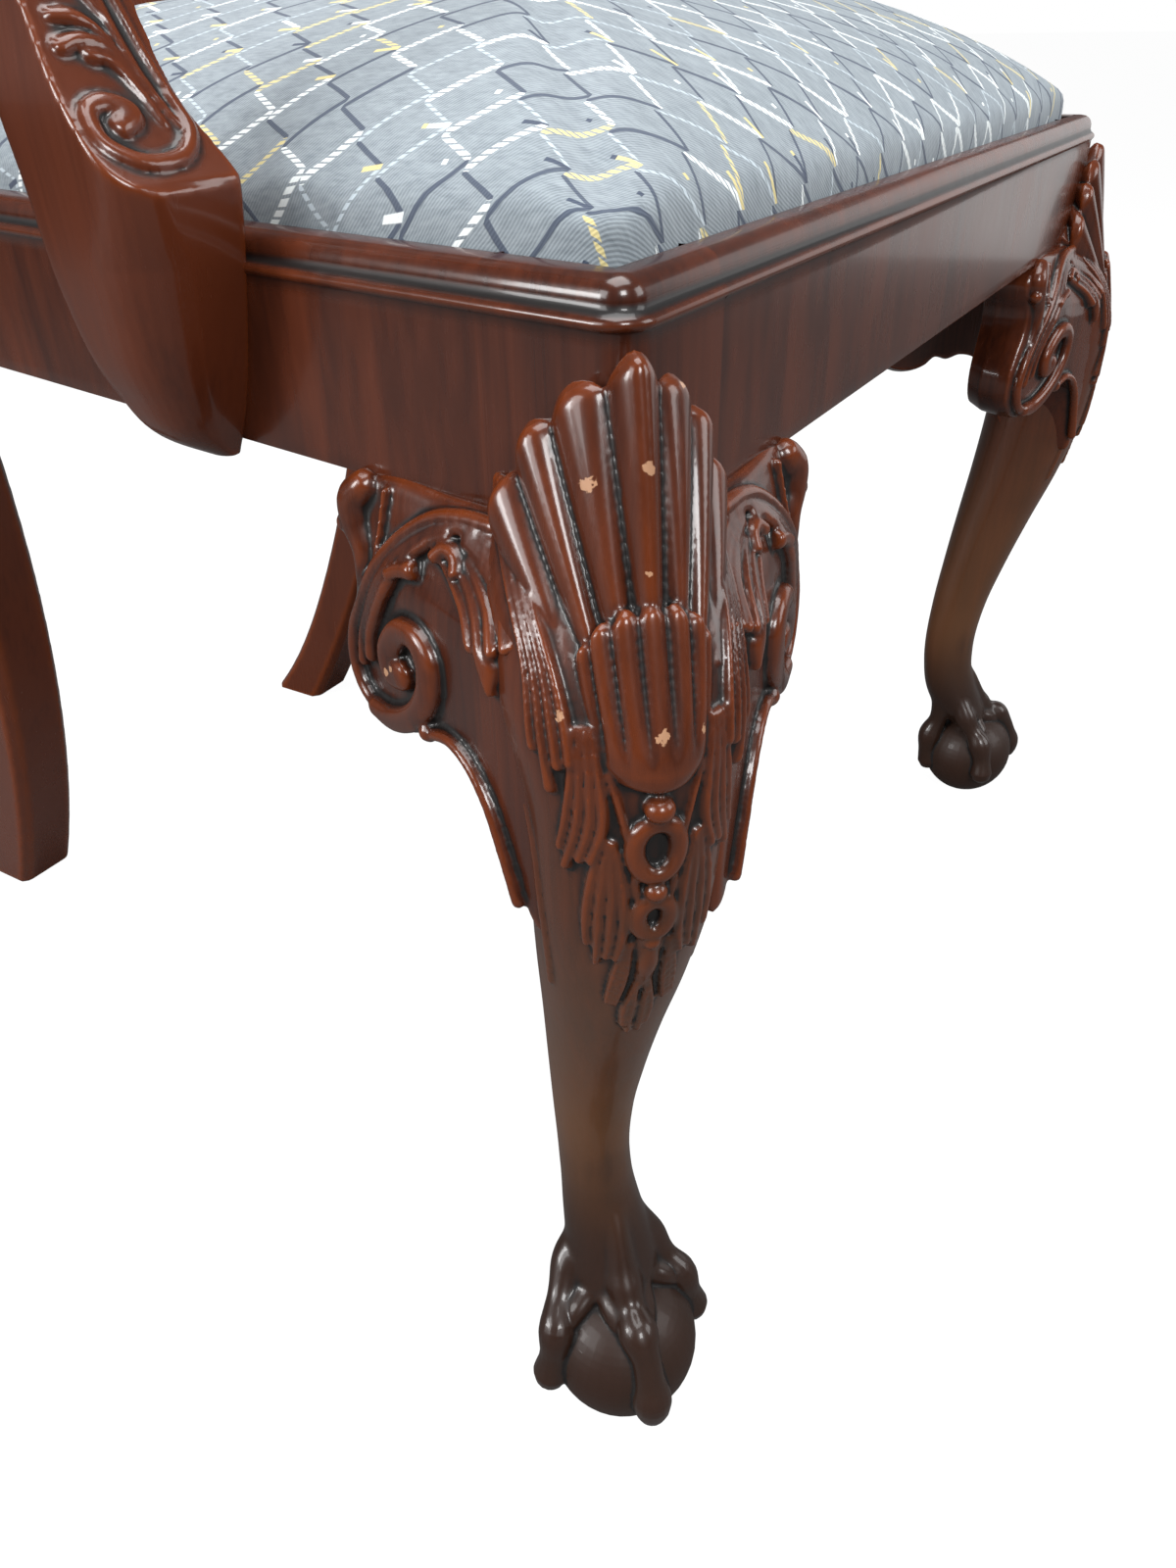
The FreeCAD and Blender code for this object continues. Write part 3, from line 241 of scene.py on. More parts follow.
def sky():
    finish = Finish("studio", "worlds")
    soft = finish.node("ShaderNodeBackground", {}, {"Color": SKY_TINT, "Strength": SKY_STRENGTH})
    white = finish.node("ShaderNodeBackground", {}, {"Color": (1, 1, 1, 1)})
    scene.world = finish.seen_apart(soft, white, "ShaderNodeOutputWorld")


camera()
floor()
sky()
for lamp_name, values in LAMPS.items():
    lamp(lamp_name, *values)

# The mahogany. Dark red-brown wood under a semi-gloss lacquer: the grain runs along each piece, stain
# and painted shade lie dark in the recesses of the carving, and raised edges are rubbed to orange brown.
DARK_GRAIN = paint(42, 19, 13)
LIGHT_GRAIN = paint(86, 39, 20)
RUBBED = paint(116, 51, 14)
# The dark of stain and painted shade, laid into the recesses of the carving.
STAIN_AND_SHADE = paint(12, 7, 6)
FADED = paint(100, 66, 38)
# Grime and painted shade at the foot, near the floor.
GRIME_AND_SHADE = paint(26, 12, 8)
CHIP = paint(172, 130, 100)
RECESS_MM = 0.5
GRAIN_STRETCH = (1, 1, 0.09)
FIGURE_SCALE = 60
STREAK_STRETCH = (1, 1, 0.4)
STREAK_SCALE = 420
CLOUD_SCALE = 9
CHIP_SCALE = 520
# The heights in metres over which the foot's grime and painted shade fade out up the leg.
FADED_BELOW = (0.14, 0.36)
GRIME_AND_SHADE_BELOW = (0.08, 0.15)
DUST_REACH = 0.0015
GLOSS = 0.15
COAT = 0.35
COAT_GLOSS = 0.09
SPECULAR = 0.36
GRAIN_DEPTH = 0.0005


def mahogany(name, turn=(0, 0, 0), chips=(), dull=None, light=0.0):
    """Mahogany with its grain along Z, or along another axis once turned, and painted lighter by a share of
    tone, a painted light. With a dull ball, by its centre and radius, the wood is a leg: faded down its
    length, grimy and darkened by painted shade at the foot, and dusty on the ball."""
    finish = Finish(name)
    place = finish.place()
    along = finish.turned(place, GRAIN_STRETCH, turn)
    figure = finish.noise(along, FIGURE_SCALE, 4.0)
    streak = finish.noise(finish.turned(along, STREAK_STRETCH), STREAK_SCALE)
    cloud = finish.noise(place, CLOUD_SCALE)
    depth = finish.stored("recess")
    # A share of light makes the same wood lighter: painted light, for pieces that the lamps light less.
    tone = (figure * 0.7 + streak * 0.35 + cloud * 0.5 - 0.35 + light).fade(0.1, 0.75)
    wood = finish.mix(tone, DARK_GRAIN, LIGHT_GRAIN)
    gloss = GLOSS + streak * 0.08 + cloud * 0.14 + depth.fade(0.1, 1.0) * 0.25
    rubbed = (0 - depth).fade(0.12, 1.3) * (cloud * 0.9 + 0.1)
    coat = COAT
    if dull:
        x, y, z = finish.parts(place)
        low = 1 - z.fade(*FADED_BELOW)
        wood = finish.mix(low * (cloud * 0.8 + 0.25), wood, FADED)
        gloss = gloss + low * 0.12
        rubbed = rubbed * (1 - low * 0.7)
    wood = finish.mix(rubbed.at_most(0.85), wood, RUBBED)
    if dull:
        # Darker towards the foot: grime, and painted shade where the leg nears the floor.
        wood = finish.mix((1 - z.fade(*GRIME_AND_SHADE_BELOW)) * 0.88, wood, GRIME_AND_SHADE)
        (ball_x, ball_y, ball_z), radius = dull
        beside = x.absolute() - abs(ball_x)
        before = y - ball_y
        above = z - ball_z
        away = beside * beside + before * before + above * above
        dusty = 1 - away.fade(radius ** 2, (radius + DUST_REACH) ** 2)
        gloss = gloss + dusty * 0.12
        coat = COAT - dusty * 0.8 * COAT
    # Stain and painted shade: the deeper a recess, the darker the wood is painted.
    wood = finish.mix(depth.fade(0.05, 0.95), wood, STAIN_AND_SHADE)
    for point, reach in chips:
        ragged = finish.noise(place, CHIP_SCALE, 4.0)
        close = finish.near(place, point, reach)
        bare = (close - ragged * 2.4 + 0.75).fade(0.0, 0.2) * close.fade(0.05, 0.3)
        wood = finish.mix(bare, wood, CHIP)
    grain = finish.bump(streak * 0.6 + figure * 0.4, 0.1, GRAIN_DEPTH)
    return finish.surface({"Base Color": wood, "Roughness": gloss, "Normal": grain, "Coat Weight": coat,
                           "Coat Roughness": COAT_GLOSS, "Specular IOR Level": SPECULAR})


ALONG_X = (0, math.pi / 2, 0)
ALONG_Y = (math.pi / 2, 0, 0)
cross_wood = mahogany("mahogany_across", ALONG_X)
side_wood = mahogany("mahogany_side", ALONG_Y)

# The front legs. Each is one block of mahogany: a square post that takes the rails, a cabriole
# leg with a shell, leaf sprays and a husk drop on the knee, and four claws round a ball.
HALF_WIDTH = 272.0
SEAT_TAPER = math.radians(9.0)
ROOT_HALF = math.sqrt(0.5)
RAIL_BOTTOM = 383.0
RAIL_TOP = 446.0
REBATE = 429.0
WALL = 12.0
POST = 50.0
POST_INSIDE = 49.0
CORNER_ROUND = 9.0
CORNER = np.array([-HALF_WIDTH, front_face, 0])
LEAST_LENGTH = 1e-9
TIP_REACHES = (0.95, 0.6)
TIP_GIRTHS = (0.3, 0.8)
STRAND_STEPS = 14
STRAND_OVERLAP = 0.52
STRAND_START = 0.55
POLE = 0.06
BAND_FADE = 6.0

# Height, centre along and across the diagonal, and half sizes along and across it, of the leg's oval.
LEG_SECTIONS = np.array([
    (394, -37, 0, 27, 26), (384, -33, 0, 32, 29.5), (366, -21, 0, 35.5, 34), (346.5, -11, 0, 34.5, 34.2),
    (310, -2, 0.5, 29.6, 28.6), (278, -4, 1.2, 29.4, 27.4), (246, -9.8, 2.4, 27.2, 24.4),
    (215, -17.5, 3.6, 24.1, 20.6), (183, -25.3, 4.2, 20.8, 17.6), (152, -31.6, 4.4, 18.2, 15.2),
    (120, -34, 3.8, 17.2, 14.0), (104, -32.5, 3.0, 17.2, 14.6), (90, -28.5, 2.0, 18, 16.2),
    (78, -23, 1.0, 18, 17.6), (67, -17, 0.5, 16, 17.4), (60, -14, 0, 12, 12.5)])
LEG_RINGS = 90
LEG_SIDES = 72
BALL_CENTRE = -6.0
BALL_HEIGHT = 32.6
BALL_RADIUS = 30.8
BALL_FOOT = 0.4


def points_of(x, y, z):
    return np.stack(np.broadcast_arrays(np.asarray(x, float), y, z), axis=-1)


def side_place(along, out, height):
    """A point off the right side rail's face, measured from the front corner."""
    sine = math.sin(SEAT_TAPER)
    cosine = math.cos(SEAT_TAPER)
    return points_of(along * sine - out * cosine, along * cosine + out * sine, height)


def front_place(along, out, height):
    """A point off the front rail's face, measured from the right corner."""
    return points_of(along, -out, height)


def knee_place(out, across, height):
    """A point off the right front corner, along its diagonal and across it to the side rail."""
    return points_of(-(out + across) * ROOT_HALF, (across - out) * ROOT_HALF, height)


def in_frame(points):
    """From millimetres off the right front corner to metres in the chair's frame."""
    return (np.asarray(points) + CORNER) * MM


def unit(vectors):
    return vectors / np.maximum(np.linalg.norm(vectors, axis=-1, keepdims=True), LEAST_LENGTH)


def table(rows, at):
    """The columns of a table read smoothly at values of its first column."""
    rows = rows[np.argsort(rows[:, 0])]
    knots = rows[:, 0]
    slopes = np.gradient(rows[:, 1:], knots, axis=0)
    at = np.clip(np.asarray(at, float), knots[0], knots[-1])
    left = np.clip(np.searchsorted(knots, at, side="right") - 1, 0, len(knots) - 2)
    step = (knots[left + 1] - knots[left])[..., None]
    share = (at - knots[left])[..., None] / step
    low = rows[left, 1:]
    high = rows[left + 1, 1:]
    return ((1 + 2 * share) * (1 - share) ** 2 * low + share * (1 - share) ** 2 * step * slopes[left]
            + share ** 2 * (3 - 2 * share) * high + share ** 2 * (share - 1) * step * slopes[left + 1])


def spline(points, count):
    """A smooth line of count points through a few chosen ones."""
    points = np.array(points, float)
    steps = np.maximum(np.linalg.norm(np.diff(points[:, :3], axis=0), axis=1), 0.01)
    knots = np.concatenate([[0], np.cumsum(steps)])
    return table(np.column_stack([knots, points]), np.linspace(0, knots[-1], count))


def tube(rings):
    """A closed skin over a row of rings, as corners and faces."""
    count, sides = rings.shape[:2]
    corners = np.concatenate([rings.reshape(-1, 3), rings[0].mean(0)[None], rings[-1].mean(0)[None]])
    ring = np.arange(count - 1)[:, None] * sides
    here = np.arange(sides)[None]
    after = (here + 1) % sides
    quads = np.stack([ring + here, ring + after, ring + sides + after, ring + sides + here], -1)
    faces = quads.reshape(-1, 4).tolist()
    last = (count - 1) * sides
    for side in range(sides):
        following = (side + 1) % sides
        faces.append([count * sides, following, side])
        faces.append([count * sides + 1, last + side, last + following])
    return corners, faces


def capped(values, scales):
    """A row of values with two more at each end, scaled from the end ones."""
    start = [values[0] * scale for scale in scales]
    end = [values[-1] * scale for scale in scales[::-1]]
    return np.concatenate([start, values, end])


def tipped(path, along, start, end):
    """A path with two more points beyond each end, where a tip of that size is rounded."""
    before = [path[0] - along[0] * start * reach for reach in TIP_REACHES]
    after = [path[-1] + along[-1] * end * reach for reach in TIP_REACHES[::-1]]
    return np.concatenate([before, path, after])


def circle(sides):
    """The cosines and sines of even turns round a circle."""
    turn = np.linspace(0, 2 * math.pi, sides, endpoint=False)
    return np.cos(turn), np.sin(turn)


def limb(path, girths, helper, sides):
    """A round limb along a path in space, with round ends. The helper is roughly square to its plane."""
    along = unit(np.gradient(path, axis=0))
    path = tipped(path, along, girths[0], girths[-1])
    girths = capped(girths, TIP_GIRTHS)
    along = capped(along, (1, 1))
    side = unit(np.cross(along, helper))
    up = np.cross(side, along)
    cosine, sine = circle(sides)
    round_ring = cosine[None, :, None] * side[:, None] + sine[None, :, None] * up[:, None]
    return tube(path[:, None] + girths[:, None, None] * round_ring)


def stroke(surface, points, lift=0.0, count=22, sides=10, flat=1.0, blunt=1.0):
    """A raised strand on a surface. Each point gives its place, half width and half height.
    Flat below 1 squares its section, and blunt below 1 squares its ends."""
    line = spline(points, count)
    base = surface(line[:, 0], line[:, 1], lift)
    normal = unit(surface(line[:, 0], line[:, 1], lift + 1.0) - base)
    along = unit(np.gradient(base, axis=0))
    wide = line[:, 2]
    tall = line[:, 3]
    base = tipped(base, along, blunt * wide[0], blunt * wide[-1])
    normal = capped(normal, (1, 1))
    along = capped(along, (1, 1))
    shrink = [1 - (1 - girth) * blunt for girth in TIP_GIRTHS]
    wide = capped(wide, shrink)
    tall = capped(tall, shrink)
    side = unit(np.cross(normal, along))
    cosine, sine = (np.sign(values) * np.abs(values) ** flat for values in circle(sides))
    return tube(base[:, None] + (wide[:, None] * cosine)[..., None] * side[:, None]
                + (tall[:, None] * sine)[..., None] * normal[:, None])


def spray(surface, inner, outer, strands, tall):
    """A leaf of touching strands that fan out between two edge lines, with a scalloped end."""
    first = spline(inner, STRAND_STEPS)
    last = spline(outer, STRAND_STEPS)
    apart = np.linalg.norm(surface(*last.T, 0.0) - surface(*first.T, 0.0), axis=1)
    swell = np.linspace(STRAND_START, 1.0, STRAND_STEPS) * tall
    made = []
    for strand in range(strands):
        share = (strand + 0.5) / strands
        line = first + (last - first) * share
        reach = STRAND_STEPS - (strand % 2) - (1 if strand in (0, strands - 1) else 0)
        points = np.column_stack([line, STRAND_OVERLAP * apart / strands, swell])[:reach]
        made.append(stroke(surface, points))
    return made


def ball(centre, radii, rings=12, sides=18):
    """A round or oval bead."""
    polar = np.linspace(POLE, math.pi - POLE, rings)
    cosine, sine = circle(sides)
    shape = np.stack([np.sin(polar)[:, None] * cosine, np.sin(polar)[:, None] * sine,
                      np.cos(polar)[:, None] * np.ones(sides)], -1)
    return tube(np.asarray(centre, float) + shape * np.asarray(radii, float))


def plain_mesh(name, shells):
    """One mesh from several shells of corners and faces."""
    corners = []
    faces = []
    start = 0
    for shell_corners, shell_faces in shells:
        corners.append(in_frame(shell_corners))
        faces += [[start + index for index in face] for face in shell_faces]
        start += len(shell_corners)
    mesh = bpy.data.meshes.new(name)
    mesh.from_pydata(np.concatenate(corners).tolist(), [], faces)
    return mesh


def modified(mesh, name, kind, settings):
    """The mesh with one modifier applied to it."""
    holder = placed(name, mesh)
    modifier = holder.modifiers.new(name, kind)
    for key, value in settings.items():
        setattr(modifier, key, value)
    evaluated = holder.evaluated_get(bpy.context.evaluated_depsgraph_get())
    made = bpy.data.meshes.new_from_object(evaluated)
    bpy.data.objects.remove(holder)
    return made


def places(mesh, kind="co"):
    """The place, or the normal, of each point of a mesh."""
    values = np.empty(len(mesh.vertices) * 3)
    mesh.vertices.foreach_get(kind, values)
    return values.reshape(-1, 3)


def moved_to(mesh, place):
    """Moves the points of a mesh."""
    mesh.vertices.foreach_set("co", place.ravel())
    mesh.update()


def shaded_smooth(mesh):
    mesh.polygons.foreach_set("use_smooth", np.ones(len(mesh.polygons), bool))


def store_recess(mesh, values):
    """Keeps a depth at each point, for the wood's stain and painted shade in recesses, and its wear."""
    layer = mesh.attributes.new("recess", "FLOAT", "POINT")
    layer.data.foreach_set("value", np.asarray(values, np.float32))


def averaging(mesh):
    """A function that gives each point of a mesh the mean place of its neighbours."""
    count = len(mesh.vertices)
    edges = np.empty(len(mesh.edges) * 2, int)
    mesh.edges.foreach_get("vertices", edges)
    first, second = edges.reshape(-1, 2).T
    degree = np.maximum(np.bincount(first, minlength=count) + np.bincount(second, minlength=count), 1)

    def averaged(place):
        sums = []
        for values in place.T:
            sums.append(np.bincount(first, values[second], count) + np.bincount(second, values[first], count))
        return np.stack(sums, -1) / degree[:, None]

    return averaged


def mark_recess(mesh, rounds):
    """Stores how far each point lies below, or above, the skin smoothed over its neighbours."""
    averaged = averaging(mesh)
    place = places(mesh)
    smooth = place
    for _ in range(rounds):
        smooth = averaged(smooth)
    store_recess(mesh, ((smooth - place) * places(mesh, "normal")).sum(1) / (RECESS_MM * MM))


def eased(mesh, low, high, iterations):
    """The mesh with its skin smoothed between two heights, so that what meets there runs together."""
    averaged = averaging(mesh)
    place = places(mesh)
    height = place[:, 2] / MM
    share = np.clip((height - low) / BAND_FADE, 0, 1) * np.clip((high - height) / BAND_FADE, 0, 1)
    for _ in range(iterations):
        place = place + (averaged(place) - place) * (0.5 * share)[:, None]
    moved_to(mesh, place)


def carve(name, shells, voxel, triangles, rounds=14, easing=2, band=None):
    """Fuses overlapping shells into one carved skin, eases it, more so in a band, and thins it."""
    mesh = modified(plain_mesh(name, shells), name, "REMESH",
                    {"mode": "VOXEL", "voxel_size": voxel * MM, "use_smooth_shade": True})
    mesh = modified(mesh, name, "SMOOTH", {"factor": 0.5, "iterations": easing})
    if band:
        eased(mesh, **band)
    found = 2 * len(mesh.polygons)
    if found > triangles:
        mesh = modified(mesh, name, "DECIMATE", {"ratio": triangles / found})
    mark_recess(mesh, rounds)
    shaded_smooth(mesh)
    return mesh


def mirrored(mesh, name):
    """The same piece for the chair's left side."""
    other = mesh.copy()
    other.name = name
    other.transform(Matrix.Scale(-1, 4, (1, 0, 0)))
    other.flip_normals()
    return other


def coated(mesh, material):
    """Gives a mesh one material."""
    mesh.materials.clear()
    mesh.materials.append(material)


def piece(name, mesh, material, body, slot, *nodes):
    """Puts a finished mesh on the chair in place of the plain solids that it stands for."""
    mesh.name = name
    coated(mesh, material)
    made = placed(name, mesh)
    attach(made, body)
    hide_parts(*nodes)
    return made


def pair(name, mesh, material):
    """The right piece and its mirrored twin, each in place of the solid of the same name."""
    for side, made in (("_right", mesh), ("_left", mirrored(mesh, name + "_left"))):
        piece(name + side + "_carved", made, material, "frame", "mahogany", name + side)


def knee(angle, height, lift):
    """A point on the leg's oval, by degrees round it from the diagonal, and its height."""
    centre, shift, along, across = np.moveaxis(table(LEG_SECTIONS, height), -1, 0)
    turn = np.radians(angle)
    facing = unit(np.stack([across * np.cos(turn), along * np.sin(turn)], -1))
    return knee_place(centre + along * np.cos(turn) + lift * facing[..., 0],
                      shift + across * np.sin(turn) + lift * facing[..., 1], height)


def leg_body():
    heights = np.linspace(LEG_SECTIONS[0, 0], LEG_SECTIONS[-1, 0], LEG_RINGS)
    angles = np.linspace(0, 360, LEG_SIDES, endpoint=False)
    return tube(knee(angles[None], heights[:, None] * np.ones((1, LEG_SIDES)), 0.0))


# Each claw, from the ankle to the nail: distance along the diagonal and across it, height and girth.
FRONT_CLAW = [(-20, 0, 106, 2.4), (-14.5, 0, 96, 4.0), (-9.5, 0, 86, 4.8), (-6, 0, 78, 6.0),
              (-2.5, 0, 72, 7.4), (4.0, 0, 66.5, 5.6), (11.5, 0, 62, 8.2), (18.5, 0, 54, 6.0),
              (23.0, 0, 44.5, 6.2), (25.5, 0, 36, 8.0), (25.5, 0, 30, 7.4)]
SIDE_CLAW = [(-36, 5.4, 106, 2.8), (-32.5, 7.6, 94, 4.4), (-27.5, 11.4, 82, 5.5), (-22, 17.5, 70, 7.8),
             (-15.5, 23.2, 61, 5.8), (-9, 28.2, 52, 7.8), (-6.5, 31.2, 40.5, 6.2), (-6, 33.2, 31, 7.6)]
BACK_CLAW = [(-48, 2, 114, 3.0), (-44, 1, 99, 5.0), (-37, 0, 85, 6.6), (-33, 0, 72, 7.6), (-34, 0, 60, 6.4),
             (-37.5, 0, 48, 8.2), (-37.5, 0, 36, 6.6), (-35.5, 0, 26, 7.6)]
FRONT_WEB = [(-6, 7, 65, 5.0), (2, 6.5, 62.5, 4.4), (8, 5.5, 58.5, 3.0)]
SIDE_WEB = [(-10, 13, 63.5, 5.0), (-8, 18.5, 60, 4.4), (-6.5, 24, 54.5, 3.0)]
CLAW_POINTS = 40
CLAW_SIDES = 16
CLAW_TURN = math.radians(-6.0)
SIDE_TURN = math.radians(-12.0)
TURN_TOP = 78.0
TURN_REACH = 25.0
ANKLE_EASING = {"low": 60.0, "high": 114.0, "iterations": 45}


def claws():
    """Four claws and the webs between the front three, each turned a little round the ball."""
    along_diagonal = knee_place(1.0, 0, 0)
    across_diagonal = knee_place(0, 1.0, 0)
    parts = [(FRONT_CLAW, 1, CLAW_TURN, across_diagonal), (BACK_CLAW, 1, CLAW_TURN, across_diagonal)]
    for side in (1, -1):
        parts.append((SIDE_CLAW, side, SIDE_TURN, along_diagonal))
        parts.append((FRONT_WEB, side, CLAW_TURN, across_diagonal))
        parts.append((SIDE_WEB, side, SIDE_TURN, along_diagonal))
    made = []
    for stations, side, turn, helper in parts:
        out, across, height, girth = spline(stations, CLAW_POINTS).T
        out = out - BALL_CENTRE
        across = across * side
        turn = turn * np.clip((TURN_TOP - height) / TURN_REACH, 0, 1)
        turned_out = BALL_CENTRE + out * np.cos(turn) - across * np.sin(turn)
        turned_across = out * np.sin(turn) + across * np.cos(turn)
        made.append(limb(knee_place(turned_out, turned_across, height), girth, helper, CLAW_SIDES))
    return made


def foot():
    corners, faces = ball(knee_place(BALL_CENTRE, 0, BALL_HEIGHT), (BALL_RADIUS,) * 3, 28, 40)
    below = np.minimum(corners[:, 2] - BALL_HEIGHT, 0)
    corners[:, 2] += below * ((BALL_HEIGHT - BALL_FOOT) / BALL_RADIUS - 1)
    return [(corners, faces)] + claws()


# The shell's lobes, counted from the middle one, and its edge: the top of each and the foot where it
# runs under the cup. Each has its distance out, across, and its height.
SHELL_FANS = (0, 1, 2, 3, 3.5)
SHELL_TOPS = [(1.5, 0.0, 432.0), (-9.0, 13.0, 423.0), (-17.0, 22.0, 412.0), (-23.5, 28.5, 395.0),
              (-26.5, 31.5, 385.0)]
SHELL_FEET = [(16.5, 0.0, 366.0), (15.0, 7.0, 364.0), (12.5, 13.0, 360.0), (9.5, 18.0, 356.0),
              (8.0, 20.5, 354.0)]
SHELL_COLUMNS = 141
CARVED_ROWS = 60
SCALLOP = 2.0
LOBE_HEIGHT = 4.6
LOBE_POWER = 2.1
LOBE_DIP = 0.085
LOBE_ROUND = 0.05
SHELL_SHIFT = -0.5
SHELL_BACK = -14.0
SHELL_AXIS = -46.0
SHELL_BOW = 0.6


def shell_point(fan, fall, lift):
    """A point of the shell: fan counts lobes from the middle one, fall goes from top to foot."""
    rows = []
    for tops in (SHELL_TOPS, SHELL_FEET):
        right = [(fan_place, *top) for fan_place, top in zip(SHELL_FANS, tops)]
        left = [(-fan_place, out, -across, height) for fan_place, out, across, height in right[:0:-1]]
        rows.append(table(np.array(left + right, float), fan))
    fall = np.asarray(fall, float)[..., None]
    bow = SHELL_BOW * np.sin(np.clip(fall, 0, 1) * math.pi)
    out, across, height = np.moveaxis(rows[0] + (rows[1] - rows[0]) * fall, -1, 0)
    facing = unit(np.stack([out - SHELL_AXIS, across], -1))
    lift = np.asarray(lift, float) + bow[..., 0]
    return knee_place(out + lift * facing[..., 0], across + SHELL_SHIFT + lift * facing[..., 1], height)


def flute(count, power):
    """A row of round ridges: 1 on whole counts, falling to 0 in a narrow groove halfway between them."""
    return 1 - np.abs(2 * (count - np.round(count))) ** power


def rounded_edge(fall, reach):
    """Rises from 0 to 1 in a quarter round over a reach."""
    return np.sqrt(1 - (1 - np.clip(fall / reach, 0, 1)) ** 2)


def slab(surface, fans, falls, lift, back):
    """A closed skin from a carved face to the flat back of the same shape."""
    outer = surface(fans, falls, lift)
    inner = surface(fans, falls, back)
    return tube(np.concatenate([outer, inner[:, ::-1]], axis=1))


def shell():
    fans = np.linspace(-SHELL_FANS[-1], SHELL_FANS[-1], SHELL_COLUMNS)[None]
    falls = np.linspace(0, 1, CARVED_ROWS)[:, None]
    dip = LOBE_DIP * (1 - flute(fans, SCALLOP))
    down = dip + (1 - dip) * falls
    lift = LOBE_HEIGHT * flute(fans, LOBE_POWER) * rounded_edge(falls, LOBE_ROUND)
    return [slab(shell_point, fans + 0 * falls, down, lift, SHELL_BACK)]


# The cup under the shell: height, half width, and how far its middle stands out.
CUP_SECTIONS = np.array([(384, 14.6, 15.0), (374, 16.2, 18.8), (360, 15.8, 23.6), (347, 14.4, 28.0),
                         (340, 13.2, 30.0), (335, 11.4, 30.6), (331.5, 8.6, 29.4), (329.5, 4.5, 26.5)])
CUP_COLUMNS = 113
CUP_RIBS = 3
CUP_RIB = 0.31
CUP_RIB_POWER = 2.6
CUP_TOP = 377.5
CUP_FALL = 1.3
CUP_DIP = 3.6
CUP_FLUTE = 2.3
CUP_FLUTE_FOOT = 0.78
CUP_DEPTH = 13.0
CUP_BACK = -9.0
CUP_FAN = math.radians(78)


def cup_point(fan, height, lift):
    """A point on the cup: fan goes from -1 to 1 across it."""
    half, out = np.moveaxis(table(CUP_SECTIONS, height), -1, 0)
    turn = np.asarray(fan, float) * CUP_FAN
    depth = CUP_DEPTH + lift
    return knee_place(out - CUP_DEPTH + depth * np.cos(turn), (half + lift) * np.sin(turn), height)


def cup():
    ribs = np.linspace(-CUP_RIBS - 0.5, CUP_RIBS + 0.5, CUP_COLUMNS)[None]
    falls = np.linspace(0, 1, CARVED_ROWS)[:, None]
    top = CUP_TOP - CUP_FALL * ribs ** 2 - CUP_DIP * (1 - flute(ribs, SCALLOP))
    heights = top + (CUP_SECTIONS[-1, 0] - top) * falls
    fade = 1 - np.clip(falls / CUP_FLUTE_FOOT, 0, 1) ** 4
    lift = (CUP_FLUTE * (flute(ribs, CUP_RIB_POWER) - 1) * fade + CUP_FLUTE) * rounded_edge(falls, LOBE_ROUND)
    return [slab(cup_point, ribs * CUP_RIB + 0 * falls, heights, lift, CUP_BACK)]


# Leaf sprays on the knee, below the shell on each side of the husk drop: the inner and the outer edge
# of each leaf by degrees round the leg and height, and its count of strands.
KNEE_SPRAYS = [
    ([(66, 394), (48, 376), (39, 361), (35, 344), (36, 332)],
     [(88, 394), (66, 376), (57, 360), (60, 341), (62, 325)], 4),
    ([(26, 346), (24, 332), (24, 320), (33, 305)], [(36, 346), (43, 331), (51, 317), (60, 303)], 4),
    ([(21, 314), (14, 296), (13, 280), (18, 268)], [(28, 315), (36, 305), (41, 288), (38, 270)], 4),
    ([(10, 278), (10, 262), (15, 246)], [(16, 277), (22, 262), (24, 248)], 3),
    ([(2, 260), (1, 244), (2, 229)], [(6, 259), (12, 245), (9, 233)], 2)]
STEM = [(22, 335), (16, 318), (10, 296), (5, 272), (3, 256)]
INNER_EDGE = [(92, 316), (84, 303), (75, 282), (70, 262), (68, 246)]
SPRAY_HEIGHT = 3.0
LINES = ((STEM, 1.2, 1.6), (INNER_EDGE, 1.6, 1.2))
# The husk drop, from its foot up: the end leaf, the beads by height and girth, and the open rings by
# height, half width and half height.
HUSK_END = [(0, 276, 2.4, 2.4), (0, 269, 3.4, 2.8), (0, 258, 0.7, 1.0)]
HUSK_END_LIFT = 0.6
HUSK_BEADS = [(325, 4.2), (298, 3.2), (279, 2.8)]
HUSK_RINGS = [(311.5, 6.0, 8.4), (288.2, 4.6, 6.2)]
RING_WIDTH = 2.9
RING_HEIGHT = 2.4
RING_LIFT = 0.8
KNEE_GIRTH = 29.0


def leaves():
    made = []
    for side in (1, -1):
        for inner, outer, strands in KNEE_SPRAYS:
            edges = [[(side * angle, height) for angle, height in edge] for edge in (inner, outer)]
            made += spray(knee, *edges, strands, SPRAY_HEIGHT)
        for line, wide, tall in LINES:
            points = [(side * angle, height, wide, tall) for angle, height in line]
            made.append(stroke(knee, points, 0.0, 30, 8))
    made.append(stroke(knee, HUSK_END, HUSK_END_LIFT))
    for height, girth in HUSK_BEADS:
        made.append(ball(knee(0.0, height, girth * 0.45), (girth, girth, girth * 0.9), 14, 20))
    for height, half, tall in HUSK_RINGS:
        turn = np.linspace(0, 2 * math.pi, 25)
        angle = np.degrees(half * np.sin(turn) / KNEE_GIRTH)
        widths = np.full_like(turn, RING_WIDTH)
        ring = np.column_stack([angle, height + tall * np.cos(turn), widths, np.full_like(turn, RING_HEIGHT)])
        made.append(stroke(knee, ring, RING_LIFT, 48, 10))
    return made
